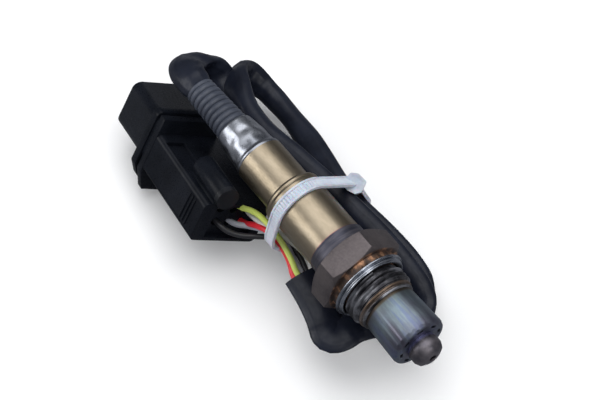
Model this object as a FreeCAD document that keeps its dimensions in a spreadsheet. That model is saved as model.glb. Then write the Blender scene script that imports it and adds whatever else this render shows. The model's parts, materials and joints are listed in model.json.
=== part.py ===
import FreeCAD, Part
import Sketcher
import math
import os
import re

# Exhaust gas sensor with its folded cable and connector.
# The origin is on the thread's axis, on the gasket's sealing face.
# +X runs along the axis to the nose, +Z is up, and the sensor lies with its axis level.

Vector = FreeCAD.Vector
doc = FreeCAD.newDocument("oxygen_sensor")

# Driving sizes, in millimetres and degrees
SIZES = {
    # steel body
    "thread_radius": 9.0,
    "thread_length": 5.0,
    "thread_chamfer": 0.5,
    "undercut_radius": 8.3,
    "front_land_radius": 8.3,
    "front_land_length": 1.2,
    "seat_collar_radius": 9.9,
    "seat_collar_length": 1.9,
    "hex_across_flats": 22.0,
    "hex_length": 7.2,
    "hex_chamfer": 0.9,
    "hex_turn": 15.0,
    "neck_collar_radius": 8.3,
    "neck_collar_length": 4.6,
    "spigot_length": 4.5,
    "body_bore_radius": 5.0,
    "bore_seat_depth": 1.0,
    "nose_bore_radius": 3.4,
    # folded sealing ring
    "gasket_thickness": 1.9,
    "gasket_radius": 10.7,
    "gasket_front_radius": 10.0,
    "gasket_flare": 0.6,
    "gasket_clearance": 0.15,
    "gasket_face_gap": 0.2,
    "gasket_roll": 0.9,
    # outer protection tube
    "outer_tube_radius": 7.45,
    "outer_tube_length": 12.7,
    "outer_tube_wall": 0.6,
    "outer_tube_rim_round": 1.1,
    "gas_slot_count": 8,
    "gas_slot_width": 1.7,
    "gas_slot_height": 0.8,
    "gas_slot_pitch_radius": 5.6,
    # inner protection tube
    "inner_tube_wall": 0.4,
    "inner_tube_radius": 5.2,
    "inner_tube_straight": 8.8,
    "inner_tube_cone": 2.2,
    "nose_neck_radius": 3.3,
    "nose_neck_length": 3.2,
    "nose_dome_radius": 3.85,
    "nose_dome_length": 4.5,
    "nose_hole_radius": 0.9,
    "side_hole_count": 6,
    "side_hole_radius": 0.7,
    # protective shell
    "shell_radius": 8.06,
    "shell_wall": 0.6,
    "shell_front_length": 18.3,
    "shell_step_length": 2.2,
    "shell_bead_height": 0.35,
    "shell_rear_radius": 7.0,
    "shell_rear_margin": 1.9,
    # crimped collar
    "collar_wall": 0.7,
    "collar_front_radius": 6.5,
    "collar_rear_radius": 5.45,
    "collar_length": 11.8,
    "collar_lip_height": 0.4,
    "collar_lip_length": 1.1,
    "collar_spigot_length": 2.5,
    "dimple_count": 8,
    "dimple_radius": 1.9,
    "dimple_depth": 0.4,
    # rubber boot
    "boot_length": 15.9,
    "boot_overlap": 2.0,
    "boot_front_radius": 4.7,
    "boot_rear_radius": 4.15,
    "boot_smooth_length": 1.6,
    "boot_rib_count": 8,
    "boot_groove_depth": 0.45,
    "boot_grip": 5.0,
    # inner pieces
    "lead_radius": 0.8,
    "lead_gap": 0.1,
    "lead_row_height": 1.3,
    "grommet_length": 8.6,
    "element_length": 57.0,
    "element_width": 4.4,
    "element_thickness": 1.3,
    "element_front": 16.0,
    "slot_clearance": 0.05,
    "fit_clearance": 0.05,
    "lower_bush_length": 6.0,
    "talc_length": 5.0,
    "upper_bush_length": 6.6,
    "holder_length": 9.5,
    "holder_slot_width": 4.9,
    "holder_slot_height": 3.6,
    "holder_rear_offset": 2.2,
    "crimp_length": 4.0,
    "crimp_wall": 0.1,
    "spring_width": 0.7,
    "spring_thickness": 0.25,
    # cable
    "sleeve_radius": 3.2,
    "wire_radius": 0.8,
    # connector housing: the shroud stands higher than the body behind the flange
    "shroud_width": 19.0,
    "housing_corner_round": 2.4,
    "shroud_length": 13.3,
    "shroud_height": 14.5,
    "shroud_wall": 1.5,
    "shroud_depth": 14.0,
    "flange_thickness": 2.3,
    "flange_side": 0.8,
    "flange_left_side": 0.5,
    "flange_left_slant": 3.0,
    "flange_slant_gap": 0.4,
    "flange_drop": 6.8,
    "flange_corner_cut": 8.0,
    "flange_rise": 1.3,
    "flange_step_gap": 0.9,
    "flange_step_thickness": 2.2,
    "flange_step_inset": 0.4,
    "flange_step_drop": 8.4,
    "flange_round": 1.8,
    "rear_body_length": 30.0,
    "rear_body_side": 2.5,
    "rear_body_drop": 1.8,
    "rear_body_height": 12.4,
    "rear_body_round": 1.6,
    "rear_recess_depth": 3.2,
    "rear_recess_width": 14.0,
    "rear_recess_wall": 1.0,
    "boss_radius": 3.3,
    "boss_length": 13.0,
    "boss_side": 4.8,
    "boss_lift": 2.95,
    "boss_cap_length": 1.7,
    "latch_recess_gap": 3.5,
    "latch_recess_length": 10.5,
    "latch_recess_width": 6.0,
    "latch_recess_depth": 1.1,
    "latch_rim": 0.8,
    "rib_count": 3,
    "rib_pitch": 1.5,
    "rib_width": 0.6,
    "rib_height": 0.3,
    "rib_margin": 2.0,
    # connector contents
    "pin_pitch": 4.2,
    "pin_row_pitch": 4.4,
    "pin_side": 1.9,
    "pin_lift": 5.5,
    "pin_width": 1.5,
    "pin_thickness": 0.8,
    "pin_tip_station": 3.5,
    "lock_thickness": 1.6,
    "seal_radius": 1.75,
    "seal_length": 4.5,
    "seal_cover_thickness": 1.4,
    "seal_cover_hole_gap": 0.4,
    # cable tie
    "tie_width": 2.5,
    "tie_thickness": 1.1,
    "tie_station": -30.9,
    "tie_head_length": 5.3,
    "tie_head_width": 4.6,
    "tie_head_height": 3.6,
}

# Stations along the axis and other values that follow from the driving sizes
PLACES = {
    "seat_rear": "-gasket_thickness",
    "gasket_face_radius": "thread_radius + gasket_face_gap",
    "hex_front": "seat_rear - seat_collar_length",
    "hex_rear": "hex_front - hex_length",
    "hex_corner_radius": "hex_across_flats / sqrt(3)",
    "shell_front": "hex_rear - neck_collar_length",
    "spigot_rear": "shell_front - spigot_length",
    "spigot_radius": "shell_radius - shell_wall - fit_clearance",
    "bore_seat": "-bore_seat_depth",
    "body_front": "thread_length + front_land_length",
    "tube_end": "body_front + outer_tube_length",
    "tube_bore": "outer_tube_radius - outer_tube_wall",
    "cone_rear": "body_front + inner_tube_straight",
    "cone_front": "cone_rear + inner_tube_cone",
    "neck_front": "tube_end + nose_neck_length",
    "nose_tip": "neck_front + nose_dome_length",
    "step_front": "shell_front - shell_front_length",
    "step_rear": "step_front - shell_step_length",
    "shell_rear_bore": "shell_rear_radius - shell_wall",
    "element_rear": "element_front - element_length",
    "holder_rear": "element_rear - holder_rear_offset",
    "holder_radius": "shell_rear_bore - fit_clearance",
    "crimp_rear": "holder_rear - crimp_length",
    "shell_rear": "crimp_rear - shell_rear_margin",
    "collar_rear": "shell_rear - collar_length",
    "boot_front": "collar_rear + boot_overlap",
    "boot_rear": "collar_rear - boot_length",
    "grommet_front": "boot_front + grommet_length",
    "talc_front": "bore_seat - lower_bush_length",
    "talc_rear": "talc_front - talc_length",
    "bush_rear": "talc_rear - upper_bush_length",
    "bush_radius": "body_bore_radius - fit_clearance",
    "sleeve_start": "boot_rear + boot_grip",
    "boot_bore_radius": "sleeve_radius + fit_clearance",
    "crimp_radius": "lead_radius + crimp_wall",
    "lead_pitch": "2 * crimp_radius + lead_gap",
    "step_flange_start": "shroud_length + flange_thickness + flange_step_gap",
    "rear_body_start": "step_flange_start + flange_step_thickness",
    "rear_body_width": "shroud_width + rear_body_side",
    "rear_body_top": "rear_body_height - rear_body_drop",
    "pin_middle": "shroud_width / 2 + pin_side",
    "housing_length": "rear_body_start + rear_body_length",
    "recess_floor": "housing_length - rear_recess_depth",
    "seal_floor": "recess_floor - seal_length",
}

# The cable's route is chosen by hand. It starts inside the boot and ends at the open mouth.
SLEEVE_ROUTE = [
    (-71.8, 0, 0),
    (-83.2, 0, 0),
    (-87.4, 5.8, -7.2),
    (-82.2, 6.8, -13.8),
    (-73.5, 8.8, -17.8),
    (-58, 9.6, -17.6),
    (-31, 6, -15.5),
    (-14, 5, -19),
    (-6, 5.6, -23),
    (0, 8.4, -24.4),
    (2, 13.5, -24.6),
    (-0.6, 18.4, -24.2),
    (-7, 20.3, -22.6),
    (-18, 19.4, -19.4),
    (-34, 16.5, -17),
    (-50, 19.4, -20.4),
    (-63, 21.4, -23.4),
    (-74.5, 22.4, -24.6),
    (-82.2, 21.8, -22.6),
    (-84.8, 18.2, -17.6),
    (-81.6, 14.2, -12.8),
    (-75, 11.4, -10),
    (-64, 9, -9),
    (-48, 9.9, -8.2),
    (-30, 12.3, -8),
    (-14.2, 13.9, -9),
    (-4, 14.4, -11),
    (4, 14.2, -13.6),
    (8.6, 10.8, -14.6),
    (7.6, 4, -14.8),
    (3.6, -2.6, -14.6),
    (1.4, -9.6, -14.5),
    (-3.4, -12.8, -14.7),
    (-10, -10.8, -14.8),
    (-20, -8.4, -13.4),
]

# The connector lies beside the sensor: its lower front corner, and how it is turned
CONNECTOR_CORNER = Vector(-94.2, -17.8, -21.5)
CONNECTOR_YAW = -8.6
CONNECTOR_PITCH = 12.3
CONNECTOR_LEAN = 34.9
CONNECTOR_TURN = (
    FreeCAD.Rotation(Vector(0, 0, 1), CONNECTOR_YAW)
    * FreeCAD.Rotation(Vector(0, 1, 0), -CONNECTOR_PITCH)
    * FreeCAD.Rotation(Vector(1, 0, 0), -CONNECTOR_LEAN)
)
CONNECTOR_PLACE = FreeCAD.Placement(CONNECTOR_CORNER, CONNECTOR_TURN)

# Each lead from the sleeve's mouth: its place in the mouth as (sideways, up), two points
# chosen by hand (under the tie, then on the way back), and its column and row in the plug
WIRES = {
    "wire_yellow": ((-0.6, 1.9), [(-31.5, -8.7, -4.2), (-39, -10.2, -6.8)], -1, 1),
    "wire_red": ((-2.1, 0.7), [(-31.5, -8.4, -6.7), (-38, -10.3, -9.8)], 0, -1),
    "wire_grey": ((1.4, 1.2), [(-31.5, -7.2, -8.8), (-37.8, -8.6, -11.2)], 0, 1),
    "wire_white": ((-1.3, -1.4), [(-31.5, -6, -10.8), (-37.5, -6.6, -13)], 1, 1),
    "wire_black": ((0.9, -1.3), [(-31.5, -4.9, -12.9), (-37.3, -7.2, -15.9)], 1, -1),
}
BLANK_PLACE = (-1, -1)
MOUTH_RUN = 5.5
PLUG_RUN = 1.2

# The tie is drawn tight round these circles, each as (sideways, up, radius, slack)
TIE_GUIDES = [
    (0, 0, "shell_radius", 0),
    (-8.7, -5.3, "wire_radius", 0.4),
    (-8.7, -7.7, "wire_radius", 0.5),
    (-5.3, -13.2, "wire_radius", 0.8),
    (6.2, -15.9, "sleeve_radius", 0.3),
    (17.2, -17.6, "sleeve_radius", 0.3),
    (16.3, -6.2, "tie_thickness", 0),
]


def fill_sheet(name, cells):
    """Make a spreadsheet with one aliased cell for each value."""
    sheet = doc.addObject("Spreadsheet::Sheet", name)
    for row, (alias, content) in enumerate(cells.items(), start=1):
        sheet.set(f"A{row}", alias)
        sheet.set(f"B{row}", str(content))
        sheet.setAlias(f"B{row}", alias)
    return sheet


def full(text):
    """Write out which sheet each name in an expression belongs to."""

    def prefixed(found):
        word = found.group()
        if word in SIZES:
            return "Sizes." + word
        return "Places." + word if word in PLACES else word

    return re.sub(r"[a-z]\w+", prefixed, text)


sizes = fill_sheet("Sizes", SIZES)
doc.recompute()
places = fill_sheet("Places", {name: "=" + full(text) for name, text in PLACES.items()})
doc.recompute()


scratch = doc.addObject("Spreadsheet::Sheet", "Scratch")


def size(name):
    """The present value of a size or a place."""
    return float((sizes if name in SIZES else places).get(name))


def value(text):
    """The present value of an expression in sizes and places."""
    scratch.set("A1", "=" + full(text))
    scratch.recompute()
    return float(scratch.get("A1"))


# Sketches


def new_body(label):
    body = doc.addObject("PartDesign::Body", label)
    body.Label = label
    return body


def origin_feature(body, role):
    return next(f for f in body.Origin.OriginFeatures if f.Role == role)


def new_sketch(body, name, role, offset=None):
    """A sketch on one of the body's own origin planes, shifted along the plane's normal."""
    sketch = body.newObject("Sketcher::SketchObject", name)
    sketch.AttachmentSupport = [(origin_feature(body, role), "")]
    sketch.MapMode = "FlatFace"
    if offset:
        sketch.setExpression("AttachmentOffset.Base.z", full(offset))
    return sketch


def hold(sketch, kind, text, *places_on_sketch):
    """Add a constraint whose value follows an expression."""
    number = sketch.addConstraint(Sketcher.Constraint(kind, *places_on_sketch, value(text)))
    sketch.setExpression(f"Constraints[{number}]", full(text))


def hold_point(sketch, line, end, across, up):
    """Fix a point by expressions for its two coordinates, where 0 is on the axis."""
    for kind, text, axis in (("DistanceX", across, -2), ("DistanceY", up, -1)):
        if text == "0":
            sketch.addConstraint(Sketcher.Constraint("PointOnObject", line, end, axis))
        else:
            hold(sketch, kind, text, -1, 1, line, end)


def add_outline(sketch, outline):
    """A closed outline of straight lines through points given as pairs of expressions."""
    count = len(outline)
    first = sketch.GeometryCount
    start = [Vector(value(across), value(up), 0) for across, up in outline]
    for i in range(count):
        sketch.addGeometry(Part.LineSegment(start[i], start[(i + 1) % count]))
    for i in range(count):
        after = first + (i + 1) % count
        sketch.addConstraint(Sketcher.Constraint("Coincident", first + i, 2, after, 1))
    for i, (across, up) in enumerate(outline):
        hold_point(sketch, first + i, 1, across, up)


def add_circle(sketch, radius, across="0", up="0"):
    middle = Vector(value(across), value(up), 0)
    circle = sketch.addGeometry(Part.Circle(middle, Vector(0, 0, 1), value(radius)))
    hold(sketch, "Radius", radius, circle)
    hold_point(sketch, circle, 3, across, up)


def add_box_outline(sketch, left, right, low, high):
    add_outline(sketch, [(left, low), (right, low), (right, high), (left, high)])


# Features


def turned(body, name, outline, kind="PartDesign::Revolution"):
    """Revolve an outline of (along the axis, radius) pairs about the X axis."""
    sketch = new_sketch(body, name + "_section", "XY_Plane")
    add_outline(sketch, outline)
    feature = body.newObject(kind, name)
    feature.Profile = sketch
    feature.ReferenceAxis = (sketch, ["H_Axis"])
    feature.Angle = 360
    return feature


def padded(body, sketch, name, length, kind="PartDesign::Pad", backwards=False):
    feature = body.newObject(kind, name)
    feature.Profile = sketch
    feature.setExpression("Length", full(length))
    feature.Reversed = backwards
    return feature


def pocketed(body, sketch, name, length, backwards=False):
    return padded(body, sketch, name, length, "PartDesign::Pocket", backwards)


def around_axis(body, feature, name, count):
    """Repeat a feature round the X axis."""
    pattern = body.newObject("PartDesign::PolarPattern", name)
    pattern.Originals = [feature]
    pattern.Axis = (origin_feature(body, "X_Axis"), [""])
    pattern.Angle = 360
    pattern.setExpression("Occurrences", full(count))
    body.Tip = pattern
    return pattern


def in_line(body, feature, name, role, length, count):
    """Repeat a feature in a straight line along one of the body's axes."""
    pattern = body.newObject("PartDesign::LinearPattern", name)
    pattern.Originals = [feature]
    pattern.Direction = (origin_feature(body, role), [""])
    pattern.setExpression("Length", full(length))
    pattern.setExpression("Occurrences", full(count))
    body.Tip = pattern
    return pattern


def shape_feature(label, shape):
    feature = doc.addObject("Part::Feature", label)
    feature.Label = label
    feature.Shape = shape
    return feature


# Steel body and its ring


def make_hex_body():
    body = new_body("hex_body")
    turned(body, "turned_body", [
        ("spigot_rear", "body_bore_radius"),
        ("spigot_rear", "spigot_radius"),
        ("shell_front", "spigot_radius"),
        ("shell_front", "neck_collar_radius"),
        ("hex_rear", "neck_collar_radius"),
        ("hex_rear", "seat_collar_radius"),
        ("seat_rear", "seat_collar_radius"),
        ("seat_rear", "undercut_radius"),
        ("0", "undercut_radius"),
        ("0", "thread_radius"),
        ("thread_length - thread_chamfer", "thread_radius"),
        ("thread_length", "thread_radius - thread_chamfer"),
        ("thread_length", "front_land_radius"),
        ("body_front", "front_land_radius"),
        ("body_front", "nose_bore_radius"),
        ("bore_seat", "nose_bore_radius"),
        ("bore_seat", "body_bore_radius"),
    ])
    ring = new_sketch(body, "hexagon", "YZ_Plane", "hex_rear")
    add_hexagon(ring)
    add_circle(ring, "seat_collar_radius - 1")
    padded(body, ring, "hexagon_pad", "hex_length")
    for name, station, inner in (
        ("front_chamfer", "hex_front", "hex_front - hex_chamfer"),
        ("rear_chamfer", "hex_rear", "hex_rear + hex_chamfer"),
    ):
        turned(body, name, [
            (station, "hex_across_flats / 2 - 0.1"),
            (station, "hex_corner_radius + 1"),
            (inner, "hex_corner_radius + 1"),
            (inner, "hex_corner_radius"),
        ], "PartDesign::Groove")
    return body


def add_hexagon(sketch):
    """A hexagon about the sketch's origin, turned from the sideways axis by hex_turn."""
    corners = [f"hex_turn + {60 * i}" for i in range(6)]
    add_outline(sketch, [
        (f"hex_corner_radius * cos(({angle}) * 1deg)", f"hex_corner_radius * sin(({angle}) * 1deg)")
        for angle in corners
    ])


def make_gasket_ring():
    body = new_body("gasket_ring")
    bore = "undercut_radius + gasket_clearance"
    turned(body, "folded_ring", [
        ("seat_rear", bore),
        ("seat_rear", "gasket_radius"),
        ("seat_rear + gasket_flare", "gasket_radius"),
        ("seat_rear + gasket_flare * 1.3", "gasket_front_radius - 0.3"),
        ("seat_rear + gasket_flare * 1.8", "gasket_front_radius"),
        ("-gasket_flare / 2", "gasket_front_radius"),
        ("0", "gasket_front_radius - gasket_flare / 2"),
        ("0", "gasket_face_radius"),
        ("-gasket_roll", bore),
    ])
    return body


# Protection tubes


def make_outer_tube():
    body = new_body("outer_tube")
    turned(body, "drawn_tube", [
        ("body_front", "tube_bore"),
        ("body_front", "outer_tube_radius"),
        ("tube_end - outer_tube_rim_round", "outer_tube_radius"),
        ("tube_end - outer_tube_rim_round * 0.3", "outer_tube_radius - outer_tube_rim_round * 0.3"),
        ("tube_end", "outer_tube_radius - outer_tube_rim_round"),
        ("tube_end", "nose_neck_radius + fit_clearance"),
        ("tube_end - outer_tube_wall", "nose_neck_radius + fit_clearance"),
        ("tube_end - outer_tube_wall", "tube_bore - outer_tube_rim_round * 0.7"),
        ("tube_end - outer_tube_rim_round", "tube_bore"),
    ])
    slot = new_sketch(body, "gas_slot", "YZ_Plane", "tube_end + 1")
    add_box_outline(
        slot,
        "-gas_slot_width / 2",
        "gas_slot_width / 2",
        "gas_slot_pitch_radius - gas_slot_height / 2",
        "gas_slot_pitch_radius + gas_slot_height / 2",
    )
    cut = pocketed(body, slot, "gas_slot_cut", "outer_tube_wall + 1.5")
    around_axis(body, cut, "gas_slots", "gas_slot_count")
    return body


def make_inner_tube():
    body = new_body("inner_tube")
    flange = "tube_bore - fit_clearance"
    wall = "inner_tube_wall"
    turned(body, "drawn_tube", [
        ("body_front", f"inner_tube_radius - {wall}"),
        ("body_front", flange),
        (f"body_front + {wall}", flange),
        (f"body_front + {wall}", "inner_tube_radius"),
        ("cone_rear", "inner_tube_radius"),
        ("cone_front", "nose_neck_radius"),
        ("neck_front - 0.4", "nose_neck_radius"),
        ("neck_front", "nose_dome_radius"),
        ("nose_tip - nose_dome_length * 0.5", "nose_dome_radius"),
        ("nose_tip - nose_dome_length * 0.22", "nose_dome_radius * 0.87"),
        ("nose_tip - nose_dome_length * 0.06", "nose_dome_radius * 0.6"),
        ("nose_tip", "nose_dome_radius * 0.3"),
        ("nose_tip", "nose_hole_radius"),
        (f"nose_tip - {wall}", "nose_hole_radius"),
        (f"nose_tip - nose_dome_length * 0.2 - {wall}", "nose_dome_radius * 0.75"),
        ("nose_tip - nose_dome_length * 0.5", f"nose_dome_radius - {wall}"),
        ("neck_front + 0.2", f"nose_dome_radius - {wall}"),
        ("neck_front - 0.2", f"nose_neck_radius - {wall}"),
        ("cone_front", f"nose_neck_radius - {wall}"),
        ("cone_rear", f"inner_tube_radius - {wall}"),
    ])
    hole = new_sketch(body, "side_hole", "XY_Plane", "inner_tube_radius + 1")
    add_circle(hole, "side_hole_radius", "body_front + inner_tube_straight * 0.4", "0")
    cut = pocketed(body, hole, "side_hole_cut", "inner_tube_wall + 2")
    around_axis(body, cut, "side_holes", "side_hole_count")
    return body


# Shell, collar and boot


def make_shell():
    body = new_body("shell")
    inner = "shell_radius - shell_wall"
    turned(body, "drawn_shell", [
        ("shell_front", inner),
        ("shell_front", "shell_radius"),
        ("step_front", "shell_radius"),
        ("step_front - shell_step_length * 0.2", "shell_radius + shell_bead_height"),
        ("step_front - shell_step_length * 0.45", "shell_radius + shell_bead_height"),
        ("step_front - shell_step_length * 0.75", "shell_radius"),
        ("step_rear + shell_step_length * 0.1", "shell_rear_radius + 0.3"),
        ("step_rear", "shell_rear_radius"),
        ("shell_rear", "shell_rear_radius"),
        ("shell_rear", "shell_rear_bore"),
        ("step_rear + shell_step_length * 0.2", "shell_rear_bore"),
        ("step_front - shell_step_length * 0.4", inner),
    ])
    return body


def make_crimp_collar():
    body = new_body("crimp_collar")
    wall = "collar_wall"
    turned(body, "pressed_collar", [
        ("collar_rear", "boot_front_radius + fit_clearance"),
        ("collar_rear", "collar_rear_radius - 0.3"),
        ("collar_rear + 0.4", "collar_rear_radius"),
        ("shell_rear - collar_lip_length - 0.5", "collar_front_radius"),
        ("shell_rear - collar_lip_length", "collar_front_radius + collar_lip_height"),
        ("shell_rear", "collar_front_radius + collar_lip_height"),
        ("shell_rear", "shell_rear_bore - fit_clearance"),
        ("shell_rear + collar_spigot_length", "shell_rear_bore - fit_clearance"),
        ("shell_rear + collar_spigot_length", f"shell_rear_bore - fit_clearance - {wall}"),
        ("grommet_front", f"collar_front_radius - {wall}"),
        ("boot_front", "boot_front_radius + fit_clearance"),
    ])
    for row, share, stagger in (("rear_row", 0.34, 0), ("front_row", 0.66, 1)):
        station = f"collar_rear + collar_length * {share}"
        middle = f"(collar_rear_radius + (collar_front_radius - collar_rear_radius) * {share})"
        dimple = body.newObject("PartDesign::SubtractiveSphere", row + "_dimple")
        dimple.setExpression("Radius", full("dimple_radius"))
        reach = f"({middle} + dimple_radius - dimple_depth)"
        turn = f"({stagger} * 180deg / dimple_count)"
        dimple.setExpression("Placement.Base.x", full(station))
        dimple.setExpression("Placement.Base.y", full(f"{reach} * sin{turn}"))
        dimple.setExpression("Placement.Base.z", full(f"{reach} * cos{turn}"))
        around_axis(body, dimple, row + "_dimples", "dimple_count")
    return body


def make_corrugated_boot():
    """The boot tapers to the rear, and its outline is one loop over the ribs."""
    body = new_body("corrugated_boot")
    count = int(size("boot_rib_count"))
    pitch = "((boot_length - boot_smooth_length) / boot_rib_count)"
    outline = [("boot_rear", "boot_bore_radius")]
    for rib in range(count):
        start = f"boot_rear + {rib} * {pitch}"
        growth = f"(boot_front_radius - boot_rear_radius) * {rib + 1} / boot_rib_count"
        crest = f"boot_rear_radius + {growth}"
        outline += [
            (f"{start} + 0.05 * {pitch}", f"{crest} - 0.3 * boot_groove_depth"),
            (f"{start} + 0.2 * {pitch}", crest),
            (f"{start} + 0.5 * {pitch}", crest),
            (f"{start} + 0.65 * {pitch}", f"{crest} - 0.5 * boot_groove_depth"),
            (f"{start} + 0.75 * {pitch}", f"{crest} - boot_groove_depth"),
            (f"{start} + 0.9 * {pitch}", f"{crest} - boot_groove_depth"),
        ]
    outline += [
        ("collar_rear - boot_smooth_length", "boot_front_radius - 0.3 * boot_groove_depth"),
        ("collar_rear - 0.85 * boot_smooth_length", "boot_front_radius"),
        ("boot_front", "boot_front_radius"),
        ("boot_front", "boot_bore_radius"),
    ]
    turned(body, "moulded_boot", outline)
    return body


# Pieces inside the sensor


# Where each lead crosses a section, as (sideways, up)
LEAD_PLACES = [
    ("-lead_pitch", "lead_row_height"),
    ("0", "lead_row_height"),
    ("lead_pitch", "lead_row_height"),
    ("-lead_pitch / 2", "-lead_row_height"),
    ("lead_pitch / 2", "-lead_row_height"),
]


def make_bush(label, rear, front, radius, slot_width, slot_height):
    """A round piece with a flat slot right through it."""
    body = new_body(label)
    turned(body, "round_piece", [(rear, "0"), (rear, radius), (front, radius), (front, "0")])
    slot = new_sketch(body, "slot", "YZ_Plane", front)
    add_box_outline(
        slot,
        f"-({slot_width}) / 2",
        f"({slot_width}) / 2",
        f"-({slot_height}) / 2",
        f"({slot_height}) / 2",
    )
    pocketed(body, slot, "slot_cut", f"{front} - ({rear})")
    return body


def make_element():
    body = new_body("sensing_element")
    section = new_sketch(body, "section", "YZ_Plane", "element_rear")
    add_box_outline(
        section,
        "-element_width / 2",
        "element_width / 2",
        "-element_thickness / 2",
        "element_thickness / 2",
    )
    padded(body, section, "strip", "element_length")
    return body


def make_rods(label, rear, length, radius):
    """Five like rods, one on each lead's place."""
    body = new_body(label)
    section = new_sketch(body, "sections", "YZ_Plane", rear)
    for across, up in LEAD_PLACES:
        add_circle(section, radius, across, up)
    padded(body, section, "rods", length)
    return body


def make_grommet():
    body = new_body("wire_grommet")
    side = "collar_wall + fit_clearance"
    turned(body, "moulded_seal", [
        ("boot_front", "0"),
        ("boot_front", "boot_front_radius - 0.1"),
        ("grommet_front", f"collar_front_radius - {side} - 0.1"),
        ("grommet_front", "0"),
    ])
    holes = new_sketch(body, "lead_holes", "YZ_Plane", "grommet_front")
    for across, up in LEAD_PLACES:
        add_circle(holes, "lead_radius + fit_clearance", across, up)
    pocketed(body, holes, "lead_hole_cuts", "grommet_length")
    return body


def make_contact_springs():
    """Five bent strips that run from the crimps to the element's faces."""
    rear, half = size("holder_rear"), size("spring_width") / 2
    thick, face = size("spring_thickness"), size("element_thickness") / 2
    row = size("lead_row_height")
    inside = [(0, row - thick / 2), (1.8, row - thick / 2), (5.0, face), (7.0, face + 0.45)]
    strips = []
    for across, up in LEAD_PLACES:
        side = size_of_place(across)
        sign = -1 if up.startswith("-") else 1
        low = [Vector(rear + x, side - half, sign * z) for x, z in inside]
        high = [Vector(rear + x, side - half, sign * (z + thick)) for x, z in reversed(inside)]
        outline = Part.makePolygon(low + high + low[:1])
        strips.append(Part.Face(outline).extrude(Vector(0, 2 * half, 0)))
    return shape_feature("contact_springs", Part.makeCompound(strips))


def size_of_place(text):
    """The sideways place of a lead as a number."""
    pitch = size("lead_pitch")
    return {"-lead_pitch": -pitch, "0": 0, "lead_pitch": pitch,
            "-lead_pitch / 2": -pitch / 2, "lead_pitch / 2": pitch / 2}[text]


# Cable


def rounded_path(points, radii):
    """Straight runs joined by tangent arcs, each arc as large as its two runs allow."""
    edges, start = [], points[0]
    for before, corner, after in zip(points, points[1:], points[2:]):
        back, ahead = before - corner, after - corner
        reach = 0.45 * min(back.Length, ahead.Length)
        half_turn = (math.pi - back.getAngle(ahead)) / 2
        radius = reach / math.tan(half_turn)
        back.normalize()
        ahead.normalize()
        middle = (back + ahead).normalize() * (radius / math.cos(half_turn) - radius)
        enter, leave = corner + back * reach, corner + ahead * reach
        edges.append(Part.LineSegment(start, enter).toShape())
        edges.append(Part.Arc(enter, corner + middle, leave).toShape())
        radii.append(radius)
        start = leave
    edges.append(Part.LineSegment(start, points[-1]).toShape())
    return Part.Wire(edges)


def make_cord(label, route, radius):
    """A plain round tube along a route, with its radii printed and its volume compared."""
    points = [Vector(*point) for point in route]
    radii = []
    path = rounded_path(points, radii)
    ring = Part.Circle(points[0], points[1] - points[0], radius)
    tube = path.makePipeShell([Part.Wire(ring.toShape())], True, False)
    expected = math.pi * radius ** 2 * path.Length
    diameter = 2 * radius
    tight = min(radii) / diameter
    print(f"{label}: length {path.Length:.1f}, tightest arc {tight:.1f} diameters,",
          f"volume {tube.Volume:.1f} of {expected:.1f}, radii", [round(r, 1) for r in radii])
    return shape_feature(label, tube)


def wire_route(name):
    """A lead's points from the mouth to its pin. All but the two middle ones are worked out."""
    (aside, above), middle, column, row = WIRES[name]
    mouth, before = Vector(*SLEEVE_ROUTE[-1]), Vector(*SLEEVE_ROUTE[-2])
    out = (mouth - before).normalize()
    side = Vector(0, 0, 1).cross(out).normalize() * -1
    scale = size("sleeve_radius") / 3.2
    start = mouth + side * aside * scale + out.cross(side) * -above * scale
    across = size("pin_middle") + column * size("pin_pitch")
    up = size("pin_lift") + row * size("pin_row_pitch") / 2
    plug = [
        CONNECTOR_PLACE.multVec(Vector(station, across, up))
        for station in (size("housing_length") + PLUG_RUN, size("seal_floor"))
    ]
    points = [start, start + out * MOUTH_RUN] + [Vector(*point) for point in middle] + plug
    return [tuple(point) for point in points]


# Connector

# Where each pin crosses a section of the plug, as (sideways, up)
PIN_PLACES = {
    (column, row): (f"pin_middle + {column} * pin_pitch", f"pin_lift + {row} * pin_row_pitch / 2")
    for column in (-1, 0, 1)
    for row in (-1, 1)
}


def connector_body(label):
    body = new_body(label)
    body.Placement = CONNECTOR_PLACE
    return body


def round_lengthways(body, feature, name, radius, rear, front):
    """Round the edges of a feature that run along X between two stations."""
    doc.recompute()
    low, high = size_sum(rear) - 0.01, size_sum(front) + 0.01
    chosen = []
    for number, edge in enumerate(feature.Shape.Edges, start=1):
        ends = [vertex.Point.x for vertex in edge.Vertexes]
        straight = len(ends) == 2 and edge.BoundBox.YLength < 0.01 and edge.BoundBox.ZLength < 0.01
        if straight and min(ends) > low and max(ends) < high:
            chosen.append(f"Edge{number}")
    fillet = body.newObject("PartDesign::Fillet", name)
    fillet.Base = (feature, chosen)
    fillet.setExpression("Radius", full(radius))
    return fillet


def size_sum(names):
    """The sum of several sizes."""
    return sum(size(name) for name in names)


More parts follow.
